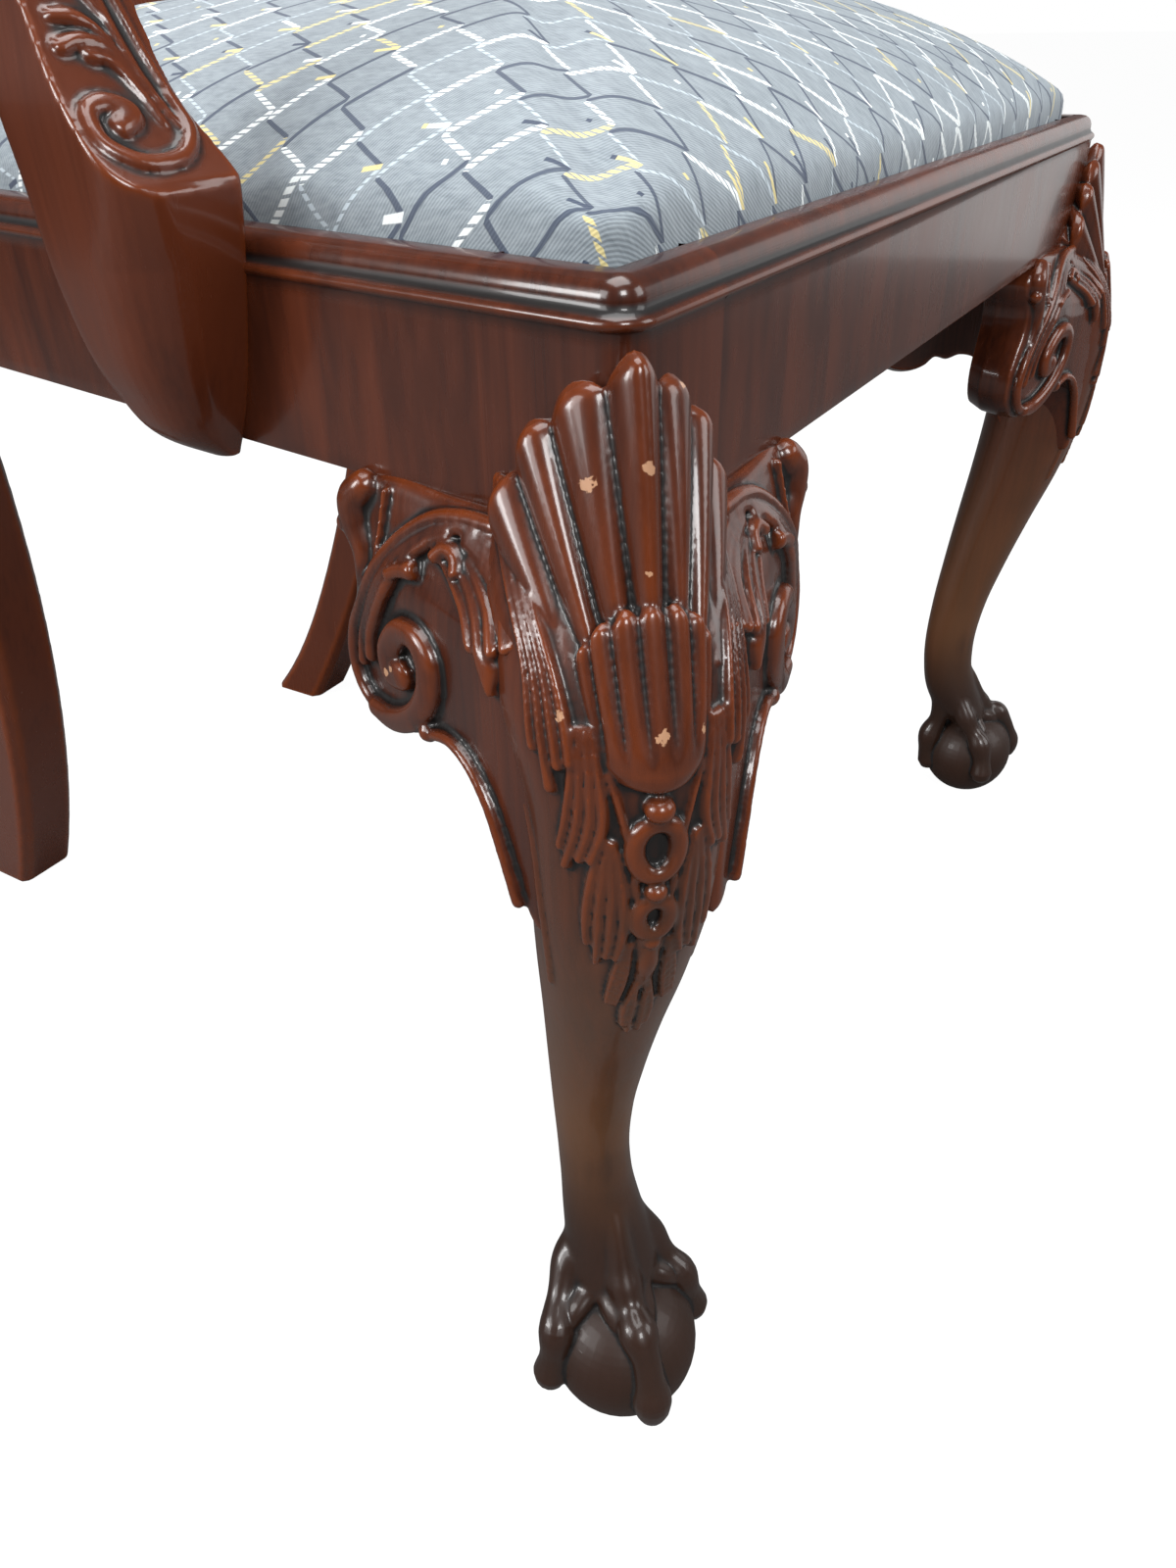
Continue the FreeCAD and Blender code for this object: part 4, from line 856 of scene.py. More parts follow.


# The rails' and the post's section, from its lower edge up over the moulding to the rebate: distance
# out of the face, height, and how dark with stain and painted shade, or how rubbed, it is there.
MOULDING = [(-1.0, RAIL_BOTTOM, -0.3), (-0.3, RAIL_BOTTOM + 0.3, -0.5), (0, RAIL_BOTTOM + 1.0, -0.2),
            (0, RAIL_BOTTOM + 5, 0), (0, 430, 0), (0, 433.6, 0.5), (0.3, 434.2, 0.6), (1.0, 434.9, -0.5),
            (1.2, 435.8, -0.8), (0.9, 436.7, -0.5), (0.1, 437.4, 0.5), (-0.9, 438.1, 1.0), (-1.5, 439.2, 0.8),
            (-1.5, 440.4, 0.2), (-1.6, 441.6, -0.1), (-2.2, 443.2, -0.3), (-3.4, 444.6, -0.3),
            (-5.2, 445.6, -0.1), (-7.5, RAIL_TOP, 0), (-11.4, RAIL_TOP, 0.4), (-WALL, RAIL_TOP - 0.5, 0.7),
            (-WALL, REBATE, 1.0)]
SHARP_EDGE = math.radians(35)
LEAST_ROUND = 0.3
ARC_POINTS = 9


def post_ring(out, height):
    """The post's plan with its two outer faces moved out by a distance."""
    centre = max(CORNER_ROUND, -out)
    radius = max(CORNER_ROUND + out, LEAST_ROUND)
    x = (centre + centre * math.sin(SEAT_TAPER)) / math.cos(SEAT_TAPER)
    turns = np.linspace(-math.pi / 2, -math.pi - SEAT_TAPER, ARC_POINTS)
    arc = points_of(x + radius * np.cos(turns), centre + radius * np.sin(turns), height)
    before = front_place(POST, out, height)
    after = side_place(POST, out, height)
    inside = points_of(POST, POST_INSIDE, height)
    return np.concatenate([before[None], arc, after[None], inside[None]])


def sharpened(mesh, recess):
    """Smooth shading but for sharp edges, and stored recess values."""
    store_recess(mesh, recess)
    shaded_smooth(mesh)
    mesh.set_sharp_from_angle(angle=SHARP_EDGE)
    return mesh


def merged(first, second):
    """Two meshes as one."""
    holders = [placed("merge", mesh) for mesh in (first, second)]
    with bpy.context.temp_override(active_object=holders[0], selected_editable_objects=holders):
        bpy.ops.object.join()
    mesh = holders[0].data
    bpy.data.objects.remove(holders[0])
    return mesh


def leg_post():
    rings = np.array([post_ring(out, height) for out, height, _ in MOULDING])
    # Stain and painted shade in the section's hollows, and rubbed wear on its rounds.
    stain_and_shade_values = np.repeat([recess for _, _, recess in MOULDING], rings.shape[1])
    return sharpened(plain_mesh("leg_post", [tube(rings)]), np.concatenate([stain_and_shade_values, [0, 1]]))


# Small chips of bare wood on the right leg, each with its reach in mm: on the shell by lobe and how far
# down it, on the cup by how far across and height, and on the leaves by degrees and height.
SHELL_CHIPS = [(-0.05, 0.36, 3.0), (1.0, 0.34, 3.8), (-1.0, 0.02, 2.6), (0.1, 0.72, 1.6)]
CUP_CHIPS = [(0.0, 347.0, 3.2), (-0.6, 345.0, 2.4)]
CUP_CHIP_LIFT = 2.2
LEAF_CHIPS = [(39, 349, 3.0), (-52, 318, 2.6)]
LEAF_CHIP_LIFT = 1.8


def chips():
    """Where the right leg is chipped, in the chair's frame."""
    made = [(shell_point(fan, fall, LOBE_HEIGHT), reach) for fan, fall, reach in SHELL_CHIPS]
    made += [(cup_point(fan, height, CUP_CHIP_LIFT), reach) for fan, height, reach in CUP_CHIPS]
    made += [(knee(angle, height, LEAF_CHIP_LIFT), reach) for angle, height, reach in LEAF_CHIPS]
    return [(tuple(in_frame(point)), reach * MM) for point, reach in made]


ball_place = in_frame(knee_place(BALL_CENTRE, 0, BALL_HEIGHT))
leg_wood = mahogany("mahogany_legs", chips=chips(), dull=(ball_place, BALL_RADIUS * MM))
leg_shells = [leg_body()] + foot() + shell() + cup() + leaves()
leg_mesh = carve("front_leg", leg_shells, voxel=0.7, triangles=190000, easing=1, band=ANKLE_EASING)
pair("front_leg", merged(leg_mesh, leg_post()), leg_wood)

# The knee brackets. Scrolled ears of mahogany glued to the leg under each rail: a grooved band runs
# from the shell over the outer edge and rolls up in a volute, with leaf strands on the field inside it.
BRACKET_OUTLINE = [(14, 384), (60, 384.5), (96, 384), (104.5, 381), (108.5, 375), (107, 368), (104, 362),
                   (104, 352), (109, 340), (113, 328), (112, 316), (105.5, 307.5), (96, 303), (86, 303),
                   (76, 307), (69, 313.5), (62, 312.5), (54, 316), (43.5, 314.5), (34.5, 307), (28, 294),
                   (18, 268)]
BRACKET_MIDDLE = np.array([46.0, 346.0])
BRACKET_SWELL = np.array([(0, 27), (25, 24), (50, 18.5), (77, 12), (95, 7), (113, 3)])
BRACKET_TOP = RAIL_BOTTOM + 3
BRACKET_FLUSH = 2.0
BRACKET_RISE = 34.0
BRACKET_FACE = [(0.1, 0), (0.3, 0), (0.5, 0), (0.7, 0), (0.85, 0), (0.93, 0.3), (0.97, 1.0), (1.0, 2.6)]
BRACKET_BACK = [(-6.0, 1.0), (-16.0, 0.97), (-24.0, 0.9)]
FIELD_SINK = 1.2
OUTER_RIDGE = [(40, 382.5), (52, 382), (62.8, 379.6), (72, 374.6), (81.4, 366.8), (90.4, 357), (100, 344),
               (107.5, 332), (109.5, 321), (105.5, 312), (97, 307.5)]
MIDDLE_RIDGE = [(45, 380), (52, 379.5), (61, 376.8), (69.9, 371.6), (78.2, 364.6), (86.2, 355.6),
                (95, 343.5), (101, 333), (103.5, 323)]
INNER_RIDGE = [(56, 376.5), (62, 374.4), (68, 370.4), (74.5, 364.2), (82, 355.3), (90.6, 344),
               (95.8, 334.9), (97.5, 327)]
VOLUTE = [(99, 308.2), (89, 308.4), (76, 314), (65.8, 323), (60.6, 332.6), (60.6, 340.8), (65, 345.2),
          (72, 345.4), (79.6, 340), (83.2, 333), (81.6, 328.4), (77.4, 329)]
VOLUTE_WIDTHS = [3.4, 4.2, 4.6, 4.8, 4.8, 4.6, 4.4, 4.4, 4.8, 5.4, 5.8, 5.6]
FOLDED_TIPS = [[(79, 361, 2.2), (74, 363.6, 2.6), (68, 365, 3.0)],
               [(59.5, 371, 2.2), (55, 373.6, 2.6), (51, 372.6, 2.6), (49.4, 369.6, 2.4)]]
STRANDS = [[(56.8, 370.2), (49.0, 366.0), (41.4, 361.0), (36.2, 355.0)],
           [(51.5, 371.1), (43.6, 367.0), (36.8, 362.0), (32.0, 355.6)],
           [(47.3, 372.6), (39.8, 368.6), (32.4, 363.6), (27.6, 356.8)],
           [(46.3, 374.2), (36.2, 370.8), (28.0, 366.0), (22.6, 359.0)]]
LEAF_TIP = [(33.0, 356.0, 2.6), (29.4, 351.6, 3.8), (28.0, 344.6, 1.4)]
LONG_STRANDS = [[(49, 376.4), (38.0, 373.4), (28.0, 368.2), (20.6, 360.4)],
                [(50, 378.2), (37.6, 375.8), (26.0, 370.4), (16.6, 361.6)],
                [(51.5, 380.2), (37.0, 378.2), (24.6, 372.7), (13.0, 362.3)]]
EDGE_BEAD = [(66, 313.5), (61, 315.5), (52, 317.5), (43, 314.5), (35, 306.5), (28, 292), (22, 276)]
EDGE_CURL = (64.5, 315.0, 3.6)
END_ROLL = [(97, 381, 5.0), (101.5, 376, 6.0), (101, 369, 5.4), (98, 362, 4.0), (98.5, 352, 3.0),
            (102, 342, 2.4)]
END_LUMP = (105.0, 368.5, 3.4)
END_ARRIS = [(86, 382), (87, 375), (87.6, 369.5), (89, 363)]
# Each plain line's half width, half height and lift, and how a leaf strand grows in half width and half
# height from root to tip.
RIDGES = [(OUTER_RIDGE, 2.6, 2.6, 0.0), (MIDDLE_RIDGE, 2.2, 2.6, 0.0), (INNER_RIDGE, 2.4, 2.8, 0.2)]
RIDGE_POINTS = 60
LONG_STRAND_SIZE = (2.2, 2.2, 0.2)
BEAD_SIZE = (2.0, 2.4, 0.2)
ARRIS_SIZE = (0.9, 1.4, 0.0)
STRAND_GROWTH = [(1.5, 1.8), (1.75, 2.2), (2.0, 2.6), (2.25, 3.0)]
CURL_LIFT = 0.2
TIP_HEIGHT = 3.4
TIP_LIFT = 0.6
LEAF_HEIGHT = 2.6
ROLL_SINK = 1.5
VOLUTE_CHIPS = [(83.0, 328.6, 2.4), (79.8, 331.0, 2.0), (68.6, 328.0, 2.4)]
VOLUTE_LIFT = 3.6


def bracket_out(along, height):
    """How far the bracket's face stands off the rail's face: flush under the rail, swelling below it."""
    swell = table(BRACKET_SWELL, along)[..., 0]
    share = np.clip((BRACKET_TOP - np.asarray(height, float)) / BRACKET_RISE, 0, 1)
    return BRACKET_FLUSH + (swell - BRACKET_FLUSH) * (0.2 + 0.8 * share * share * (3 - 2 * share))


def bracket(place):
    def face(along, height, lift):
        return place(along, bracket_out(along, height) + lift, height)

    def line(points, wide, tall, lift, count=40):
        return stroke(face, [(*point, wide, tall) for point in points], lift, count, 12)

    edge = spline(BRACKET_OUTLINE + BRACKET_OUTLINE[:1], 220)[:-1]
    rings = []
    for share, drop in BRACKET_FACE:
        ring = BRACKET_MIDDLE + (edge - BRACKET_MIDDLE) * share
        rings.append(face(ring[:, 0], ring[:, 1], -drop - FIELD_SINK))
    for out, share in BRACKET_BACK:
        ring = BRACKET_MIDDLE + (edge - BRACKET_MIDDLE) * share
        rings.append(place(ring[:, 0], out, ring[:, 1]))
    shells = [tube(np.array(rings))]
    for ridge in RIDGES:
        shells.append(line(*ridge, RIDGE_POINTS))
    curl = [(along, height, wide, VOLUTE_LIFT) for (along, height), wide in zip(VOLUTE, VOLUTE_WIDTHS)]
    shells.append(stroke(face, curl, CURL_LIFT, 100, 18, flat=0.8))
    for tip in FOLDED_TIPS:
        points = [(along, height, wide, TIP_HEIGHT) for along, height, wide in tip]
        shells.append(stroke(face, points, TIP_LIFT, 24, 12, flat=0.8, blunt=0.5))
    for strand in STRANDS:
        points = [(*point, *growth) for point, growth in zip(strand, STRAND_GROWTH)]
        shells.append(stroke(face, points, 0.0, 26, 12))
    points = [(along, height, wide, LEAF_HEIGHT) for along, height, wide in LEAF_TIP]
    shells.append(stroke(face, points, CURL_LIFT, 20, 12))
    for strand in LONG_STRANDS:
        shells.append(line(strand, *LONG_STRAND_SIZE))
    shells.append(line(EDGE_BEAD, *BEAD_SIZE))
    for along, height, girth in (EDGE_CURL, END_LUMP):
        shells.append(ball(face(along, height, 0.0), (girth, girth, girth)))
    along, height, girth = spline(END_ROLL, 24).T
    outward = place(0, 1.0, 0) - place(0, 0, 0)
    shells.append(limb(face(along, height, -ROLL_SINK), girth, outward, 14))
    shells.append(line(END_ARRIS, *ARRIS_SIZE))
    return shells


# Small chips of bare wood on the right side bracket's volute.
bracket_chips = []
for along, height, reach in VOLUTE_CHIPS:
    chip_place = side_place(along, bracket_out(along, height) + VOLUTE_LIFT, height)
    bracket_chips.append((tuple(in_frame(chip_place)), reach * MM))
bracket_wood = mahogany("mahogany_brackets", chips=bracket_chips)
for side, place in (("side", side_place), ("front", front_place)):
    name = "knee_bracket_" + side
    pair(name, carve(name, bracket(place), voxel=0.8, triangles=90000), bracket_wood)

# The seat rails. Straight mahogany boards tenoned into the legs and posts, with a lip, a cove and a
# rounded top worked along the outer edge, and a rebate inside it that the seat drops into.
RAIL_THICKNESS = 32.0
SIDE_RAIL_END = 431.0


def rail(name, place, start, end):
    outline = MOULDING + [(-RAIL_THICKNESS, REBATE, 0.6), (-RAIL_THICKNESS, RAIL_BOTTOM, 0)]
    outs, heights, recess = np.array(outline).T
    rings = np.array([place(along, outs, heights) for along in np.linspace(start, end, 3)])
    # Stain and painted shade in the moulding's hollows, and rubbed wear on its rounds.
    stain_and_shade_values = np.tile(recess, len(rings))
    return sharpened(plain_mesh(name, [tube(rings)]), np.concatenate([stain_and_shade_values, [0, 0]]))


front_rail = rail("front_rail", front_place, POST, 2 * HALF_WIDTH - POST)
piece("front_seat_rail_moulded", front_rail, cross_wood, "frame", "mahogany", "front_seat_rail")
pair("side_seat_rail", rail("side_rail", side_place, POST, SIDE_RAIL_END), side_wood)

# The arm supports. Each is sawn from one block of mahogany and screwed to the outside of the side
# rail: a rounded body below, and a shield-shaped panel above it carved with a volute and a leaf.

# The tables go by height: where the front, the rear and the panel stand along the rail, how far the
# outside and the inside stand off it, and how round the outer front edge is.
SUPPORT_FRONT = np.array([(378, 161), (388, 155), (400, 150), (428, 142), (452, 137), (460, 136),
                          (684, 136)], float)
SUPPORT_REAR = np.array([(378, 176), (418, 184), (460, 188), (500, 198), (544, 213), (590, 222),
                         (630, 220), (690, 212)], float)
SUPPORT_OUTSIDE = np.array([(378, 6), (384, 17), (402, 30), (428, 36.5), (460, 38.6), (482, 38.6),
                            (500, 36.5), (544, 40), (610, 50), (690, 54)], float)
SUPPORT_INSIDE = np.array([(378, -1), (446, -1), (460, -0.8), (478, 4.4), (500, 4.8), (544, 8), (610, 19),
                           (690, 24)], float)
SUPPORT_ROUND = np.array([(378, 8), (400, 22), (428, 22), (452, 14), (462, 12), (690, 12)], float)
REAR_ROUND = 9.0
INNER_ROUNDS = (2.0, 3.0)
LARGEST_ROUND = 0.48
PANEL = np.array([(440, 120), (455, 131), (460, 136.4), (476, 150), (500, 164), (544, 183), (590, 193),
                  (630, 191), (690, 183)], float)
SUPPORT_LEVELS = np.linspace(378, 690, 150)
FRONT_SWELL = 2.0
VOLUTE_SINK = 0.6
STRAND_SINK = 0.4
# How much lighter the posts' mahogany is painted: a painted light.
POST_PAINTED_LIGHT = 0.3


def rounded(corners, radii, steps=8):
    """A closed outline with round corners."""
    made = []
    for index, corner in enumerate(corners):
        before = np.subtract(corners[index - 1], corner)
        after = np.subtract(corners[(index + 1) % len(corners)], corner)
        shorter = min(np.linalg.norm(before), np.linalg.norm(after))
        reach = min(radii[index], LARGEST_ROUND * shorter)
        start = corner + unit(before) * reach
        end = corner + unit(after) * reach
        for share in np.linspace(0, 1, steps):
            bend = 2 * share * (1 - share) * np.array(corner)
            made.append((1 - share) ** 2 * start + bend + share ** 2 * end)
    return np.array(made)


def panel(out, height, lift):
    """A point on the panel by its distance off the rail's face and its height."""
    slope = (table(PANEL, np.asarray(height) + 1)[..., 0] - table(PANEL, np.asarray(height) - 1)[..., 0]) / 2
    facing = unit(np.stack([np.ones_like(slope), -slope], -1))
    along = table(PANEL, height)[..., 0] - lift * facing[..., 0]
    return side_place(along, out, np.asarray(height, float) - lift * facing[..., 1])


def support_body():
    rings = []
    for level in SUPPORT_LEVELS:
        front, rear, outside, inside, turn, cut = (table(rows, level)[0] for rows in (
            SUPPORT_FRONT, SUPPORT_REAR, SUPPORT_OUTSIDE, SUPPORT_INSIDE, SUPPORT_ROUND, PANEL))
        corners = [(inside, front), (outside, front), (outside, rear), (inside, rear)]
        out, along = rounded(corners, [INNER_ROUNDS[0], turn, REAR_ROUND, INNER_ROUNDS[1]]).T
        middle = (inside + outside) / 2
        half = (outside - inside) / 2
        forward = np.clip((rear - along) / (rear - front), 0, 1)
        along = along - FRONT_SWELL * forward * (1 - ((out - middle) / half) ** 2)
        rings.append(side_place(np.maximum(along, cut), out, level))
    return tube(np.array(rings))


# The carving on the panel: distance off the rail's face, height, half width and half height.
PANEL_VOLUTE = [(7.5, 479, 1.6, 1.8), (6.6, 471, 2.2, 2.2), (11, 466.2, 2.6, 2.6), (20, 464.0, 2.8, 2.8),
                (28.5, 465.4, 2.8, 2.8), (34.0, 470.2, 2.6, 2.6), (33.4, 475.6, 2.8, 2.8),
                (27.6, 477.4, 3.4, 3.2), (22.4, 474.6, 4.2, 3.4), (26.0, 472.6, 3.8, 3.2)]
PANEL_STRANDS = [
    [(8.6, 470.4, 1.0, 1.4), (11.6, 477.6, 1.3, 1.8), (14.2, 488, 1.4, 2.0), (15.6, 500, 1.5, 2.0),
     (18, 524, 1.6, 2.0)],
    [(5.6, 474, 1.0, 1.4), (8.0, 484, 1.3, 1.8), (10.2, 497, 1.5, 2.0), (13, 520, 1.8, 2.2),
     (18, 548, 2.0, 2.0)],
    [(13, 472.4, 1.0, 1.4), (15.6, 480, 1.6, 2.0), (20.0, 486.6, 2.0, 2.4), (25.0, 488.2, 2.4, 2.4)],
    [(14.6, 482, 1.0, 1.6), (19.4, 489.4, 1.8, 2.4), (25.6, 491.2, 2.4, 2.8), (31.6, 490.2, 2.6, 2.2)],
    [(16, 487, 1.0, 1.6), (20.2, 493.8, 1.8, 2.4), (25.6, 496.4, 2.6, 2.6), (30.6, 497.0, 2.0, 1.8)],
    [(16, 496, 1.2, 1.6), (20, 503, 1.8, 2.2), (25.4, 508, 2.4, 2.4), (30.6, 508.4, 2.0, 1.8)],
    [(17, 508, 1.2, 1.6), (21, 516, 1.8, 2.2), (26.6, 522, 2.4, 2.4), (32, 522.4, 2.0, 1.8)],
    [(18.4, 522, 1.2, 1.6), (23, 531, 1.8, 2.2), (28, 538, 2.2, 2.2), (33, 539, 1.8, 1.6)]]


def support_carving():
    made = [stroke(panel, PANEL_VOLUTE, -VOLUTE_SINK, 90, 14, flat=0.85)]
    for strand in PANEL_STRANDS:
        made.append(stroke(panel, strand, -STRAND_SINK, 30, 12))
    return made


support_shells = [support_body()] + support_carving()
support_mesh = carve("arm_support", support_shells, voxel=0.8, triangles=110000)
# The arm supports, back posts and splat take the same mahogany painted lighter, a painted light for faces
# that the lamps light less.
post_wood_painted_lighter = mahogany("mahogany_posts_painted_lighter", light=POST_PAINTED_LIGHT)
pair("arm_support", support_mesh, post_wood_painted_lighter)

# The arms, posts, crest, splat, shoe and back rail. Shaped mahogany: their sawn forms are eased by hand
# along every edge, and the tenons and screws that hold them are inside.
def solid_of(node):
    """The corners and faces of one of the plain solids, in millimetres off the right front corner."""
    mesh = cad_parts[node].data
    return places(mesh) / MM - CORNER, [list(face.vertices) for face in mesh.polygons]


EASED = {"back_post": (post_wood_painted_lighter, 1.5, 90000), "arm": (side_wood, 1.2, 80000)}
for name, (wood, voxel, triangles) in EASED.items():
    pair(name, carve(name, [solid_of(name + "_right")], voxel, triangles, rounds=10, easing=4), wood)
for name, wood in (("crest_rail", cross_wood), ("back_splat", post_wood_painted_lighter), ("splat_shoe", cross_wood),
                   ("back_seat_rail", cross_wood)):
    mesh = carve(name, [solid_of(name)], voxel=1.4, triangles=100000, rounds=10, easing=3)
    piece(name + "_eased", mesh, wood, "frame", "mahogany", name)

# The drop-in seat's cover. Figured twill drawn tight over the stuffing and tacked under the seat
# frame, so the edges are round, the top is crowned, and the corners pull a little.
SEAT_GAP = 1.5
SEAT_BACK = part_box("seat_cover")[1].y / MM - front_face
SEAT_CORNER = 20.0
SEAT_FLOOR = 431.0
SEAT_EDGE = 455.0
SEAT_CROWN = 501.0
SEAT_ROLL = 130.0
ROLL_POWER = 2.2
ROLL_EASE = 0.66
CELLS = 84
SKIRT_ROWS = 5
CORNER_STEPS = 17
EDGE_POINTS = 160
ON_EDGE = 0.999999
CROWN_ROUNDS = 12
ROLL_STEPS = 200
HELD_BELOW = 453.0
CLOTH_FRAMES = 20
CLOTH_PRESSURE = 1.5
CLOTH_REACH = 4.0


def seat_sides():
    """The cushion's plan as four smooth edges, front, left, back and right, each between two corners."""
    tangent = math.tan(SEAT_TAPER)
    inset = WALL + SEAT_GAP
    slant = inset / math.cos(SEAT_TAPER)
    width = 2 * HALF_WIDTH
    near = slant + inset * tangent
    far = slant + SEAT_BACK * tangent
    loop = [(near, inset), (width - near, inset), (width - far, SEAT_BACK), (far, SEAT_BACK)]
    corners = rounded(loop, [SEAT_CORNER] * 4, CORNER_STEPS).reshape(4, CORNER_STEPS, 2)
    half = CORNER_STEPS // 2
    sides = []
    for first, second in ((0, 1), (1, 2), (2, 3), (3, 0)):
        path = np.concatenate([corners[first][half:], corners[second][:half + 1]])
        walked = np.concatenate([[0], np.cumsum(np.linalg.norm(np.diff(path, axis=0), axis=1))])
        even = np.linspace(0, walked[-1], EDGE_POINTS)
        sides.append(np.stack([np.interp(even, walked, path[:, axis]) for axis in range(2)], -1))
    return sides


def edge_of_seat(u, v):
    """The point on the cushion's plan edge that lies behind each point of a square grid."""
    ring = np.maximum(np.maximum(np.abs(u), np.abs(v)), LEAST_LENGTH)
    u = u / ring
    v = v / ring
    found = np.zeros(u.shape + (2,))
    sides = seat_sides()
    faces = ((v <= -ON_EDGE, (u + 1) / 2), (u >= ON_EDGE, (v + 1) / 2),
             (v >= ON_EDGE, (1 - u) / 2), (u <= -ON_EDGE, (1 - v) / 2))
    even = np.linspace(0, 1, EDGE_POINTS)
    for (chosen, share), path in zip(faces, sides):
        for axis in range(2):
            found[..., axis] = np.where(chosen, np.interp(share, even, path[:, axis]), found[..., axis])
    return found


def roll(inward):
    """How high the cushion stands over its edge, at a distance in from it."""
    share = np.clip(inward / SEAT_ROLL, 0, 1)
    return (SEAT_CROWN - SEAT_EDGE) * (1 - (1 - share) ** ROLL_POWER) ** ROLL_EASE


def seat_form():
    """The cushion's corners, faces and cloth coordinates: a crowned top and a skirt round it."""
    grid = np.linspace(-1, 1, CELLS + 1)
    u, v = np.meshgrid(grid, grid)
    edge = edge_of_seat(u, v)
    border = np.concatenate(seat_sides())
    middle = border.mean(0)
    ring = np.maximum(np.abs(u), np.abs(v))[..., None]
    plan = middle + (edge - middle) * ring
    inward = np.min(np.linalg.norm(plan[:, :, None] - border[None, None], axis=-1), axis=-1)
    height = SEAT_EDGE + roll(inward)
    for _ in range(CROWN_ROUNDS):
        around = height[:-2, 1:-1] + height[2:, 1:-1] + height[1:-1, :-2] + height[1:-1, 2:]
        height[1:-1, 1:-1] = around / 4
    steps = np.linspace(0, SEAT_ROLL, ROLL_STEPS)
    lengths = np.concatenate([[0], np.cumsum(np.hypot(np.diff(steps), np.diff(roll(steps))))])
    extra = (lengths[-1] - SEAT_ROLL) - (np.interp(inward, steps, lengths) - np.clip(inward, 0, SEAT_ROLL))
    cloth = plan + unit(plan - middle) * extra[..., None]
    corners = [np.concatenate([plan, height[..., None]], -1).reshape(-1, 3)]
    cloths = [cloth.reshape(-1, 2)]
    index = np.arange((CELLS + 1) ** 2).reshape(CELLS + 1, CELLS + 1)
    quads = np.stack([index[:-1, :-1], index[:-1, 1:], index[1:, 1:], index[1:, :-1]], -1)
    faces = quads.reshape(-1, 4).tolist()
    rim = np.concatenate([index[0, :-1], index[:-1, -1], index[-1, :0:-1], index[:0:-1, 0]])
    above = rim
    start = index.size
    for row in range(1, SKIRT_ROWS + 1):
        drop = (SEAT_EDGE - SEAT_FLOOR) * row / SKIRT_ROWS
        around = corners[0][rim].copy()
        around[:, 2] = SEAT_EDGE - drop
        corners.append(around)
        cloths.append(cloths[0][rim] + unit(around[:, :2] - middle) * drop)
        below = start + np.arange(len(rim))
        faces += np.stack([above, below, np.roll(below, -1), np.roll(above, -1)], -1).tolist()
        above = below
        start += len(rim)
    return np.concatenate(corners), faces, np.concatenate(cloths)


def drawn_tight(mesh):
    """Blows the cushion's cloth up a little against its tacked edge, capped in how far it moves."""
    start = places(mesh)
    holder = placed("cloth", mesh)
    held = holder.vertex_groups.new(name="held")
    held.add(np.flatnonzero(start[:, 2] < HELD_BELOW * MM).tolist(), 1.0, "REPLACE")
    cloth = holder.modifiers.new("cloth", "CLOTH")
    cloth.settings.use_pressure = True
    cloth.settings.uniform_pressure_force = CLOTH_PRESSURE
    cloth.settings.vertex_group_mass = "held"
    cloth.settings.effector_weights.gravity = 0
    cloth.point_cache.frame_start = 1
    cloth.point_cache.frame_end = CLOTH_FRAMES
    for step in range(1, CLOTH_FRAMES + 1):
        scene.frame_set(step)
    evaluated = holder.evaluated_get(bpy.context.evaluated_depsgraph_get())
    moved = places(evaluated.data) - start
    far = np.linalg.norm(moved, axis=1, keepdims=True)
    moved = moved * np.minimum(1, CLOTH_REACH * MM / np.maximum(far, LEAST_LENGTH))
    bpy.data.objects.remove(holder)
    moved_to(mesh, start + moved)


def closed_below(mesh):
    """Gives the cushion the flat floor that it rests on."""
    form = bmesh.new()
    form.from_mesh(mesh)
    bmesh.ops.holes_fill(form, edges=[edge for edge in form.edges if edge.is_boundary], sides=0)
    bmesh.ops.recalc_face_normals(form, faces=form.faces)
    form.to_mesh(mesh)
    form.free()


# The twill's figure: rows of uneven zigzags whose points meet, with short bars at some of them. Each
# stroke is navy, dashed in white or ochre, or finely dotted, by a number drawn for it.
CLOTH_GROUND = paint(146, 155, 161)
CLOTH_DARK = paint(108, 117, 124)
NAVY = paint(66, 75, 92)
CHALK = paint(228, 234, 234)
OCHRE = paint(208, 194, 140)
PALE = paint(188, 200, 208)
ROW = 0.0152
WAVE = 0.026
LEAN = 0.36
ROW_SHIFT = 0.5
STROKE_WIDTH = 0.0009
DASH_WIDTH = 0.0012
FINE_WIDTH = 0.0006
BAR_LENGTH = 0.62
DASH = 0.0021
DASH_SHARE = 0.68
TWILL = 0.0014
TWILL_SLOPE = 0.7
SWAY = 0.011
SWAY_SCALE = 14
SHADE_STRETCH = (1, 0.25, 1)
SHADE_SCALE = 900
FLECK_STRETCH = (1, 0.4, 1)
FLECK_SCALE = 240
FUZZ = (0.75, 1.15)
FINE_FUZZ = (0.75, 1.4)
NAVY_BELOW = 0.44
CHALK_BELOW = 0.64
OCHRE_BELOW = 0.76
NAVY_BARS = 0.16
OCHRE_BARS = 0.74
CHALK_BARS = 0.84
# What turns a stroke's, and a bar's, row and count into the key of its drawn number.
STROKE_KEY = (17.31, 5.77, 3.1)
BAR_KEY = (11.93, 3.37, 40.7)
WEAVE_DEPTH = 0.0004
CLOTH_ROUGHNESS = 0.82
CLOTH_SPECULAR = 0.25
SHEEN = 0.12


def inked(away, width, fuzz=FUZZ):
    """1 on a stroke of a half width, fading to 0 past its edge."""
    return 1 - away.fade(width * fuzz[0], width * fuzz[1])


def between(value, low, high):
    return (value > low) * (value < high)


def drawn(finish, key):
    """A number from 0 to 1 drawn for each whole value of a key."""
    return finish.node("ShaderNodeTexWhiteNoise", {"noise_dimensions": "1D"}, {"W": key})


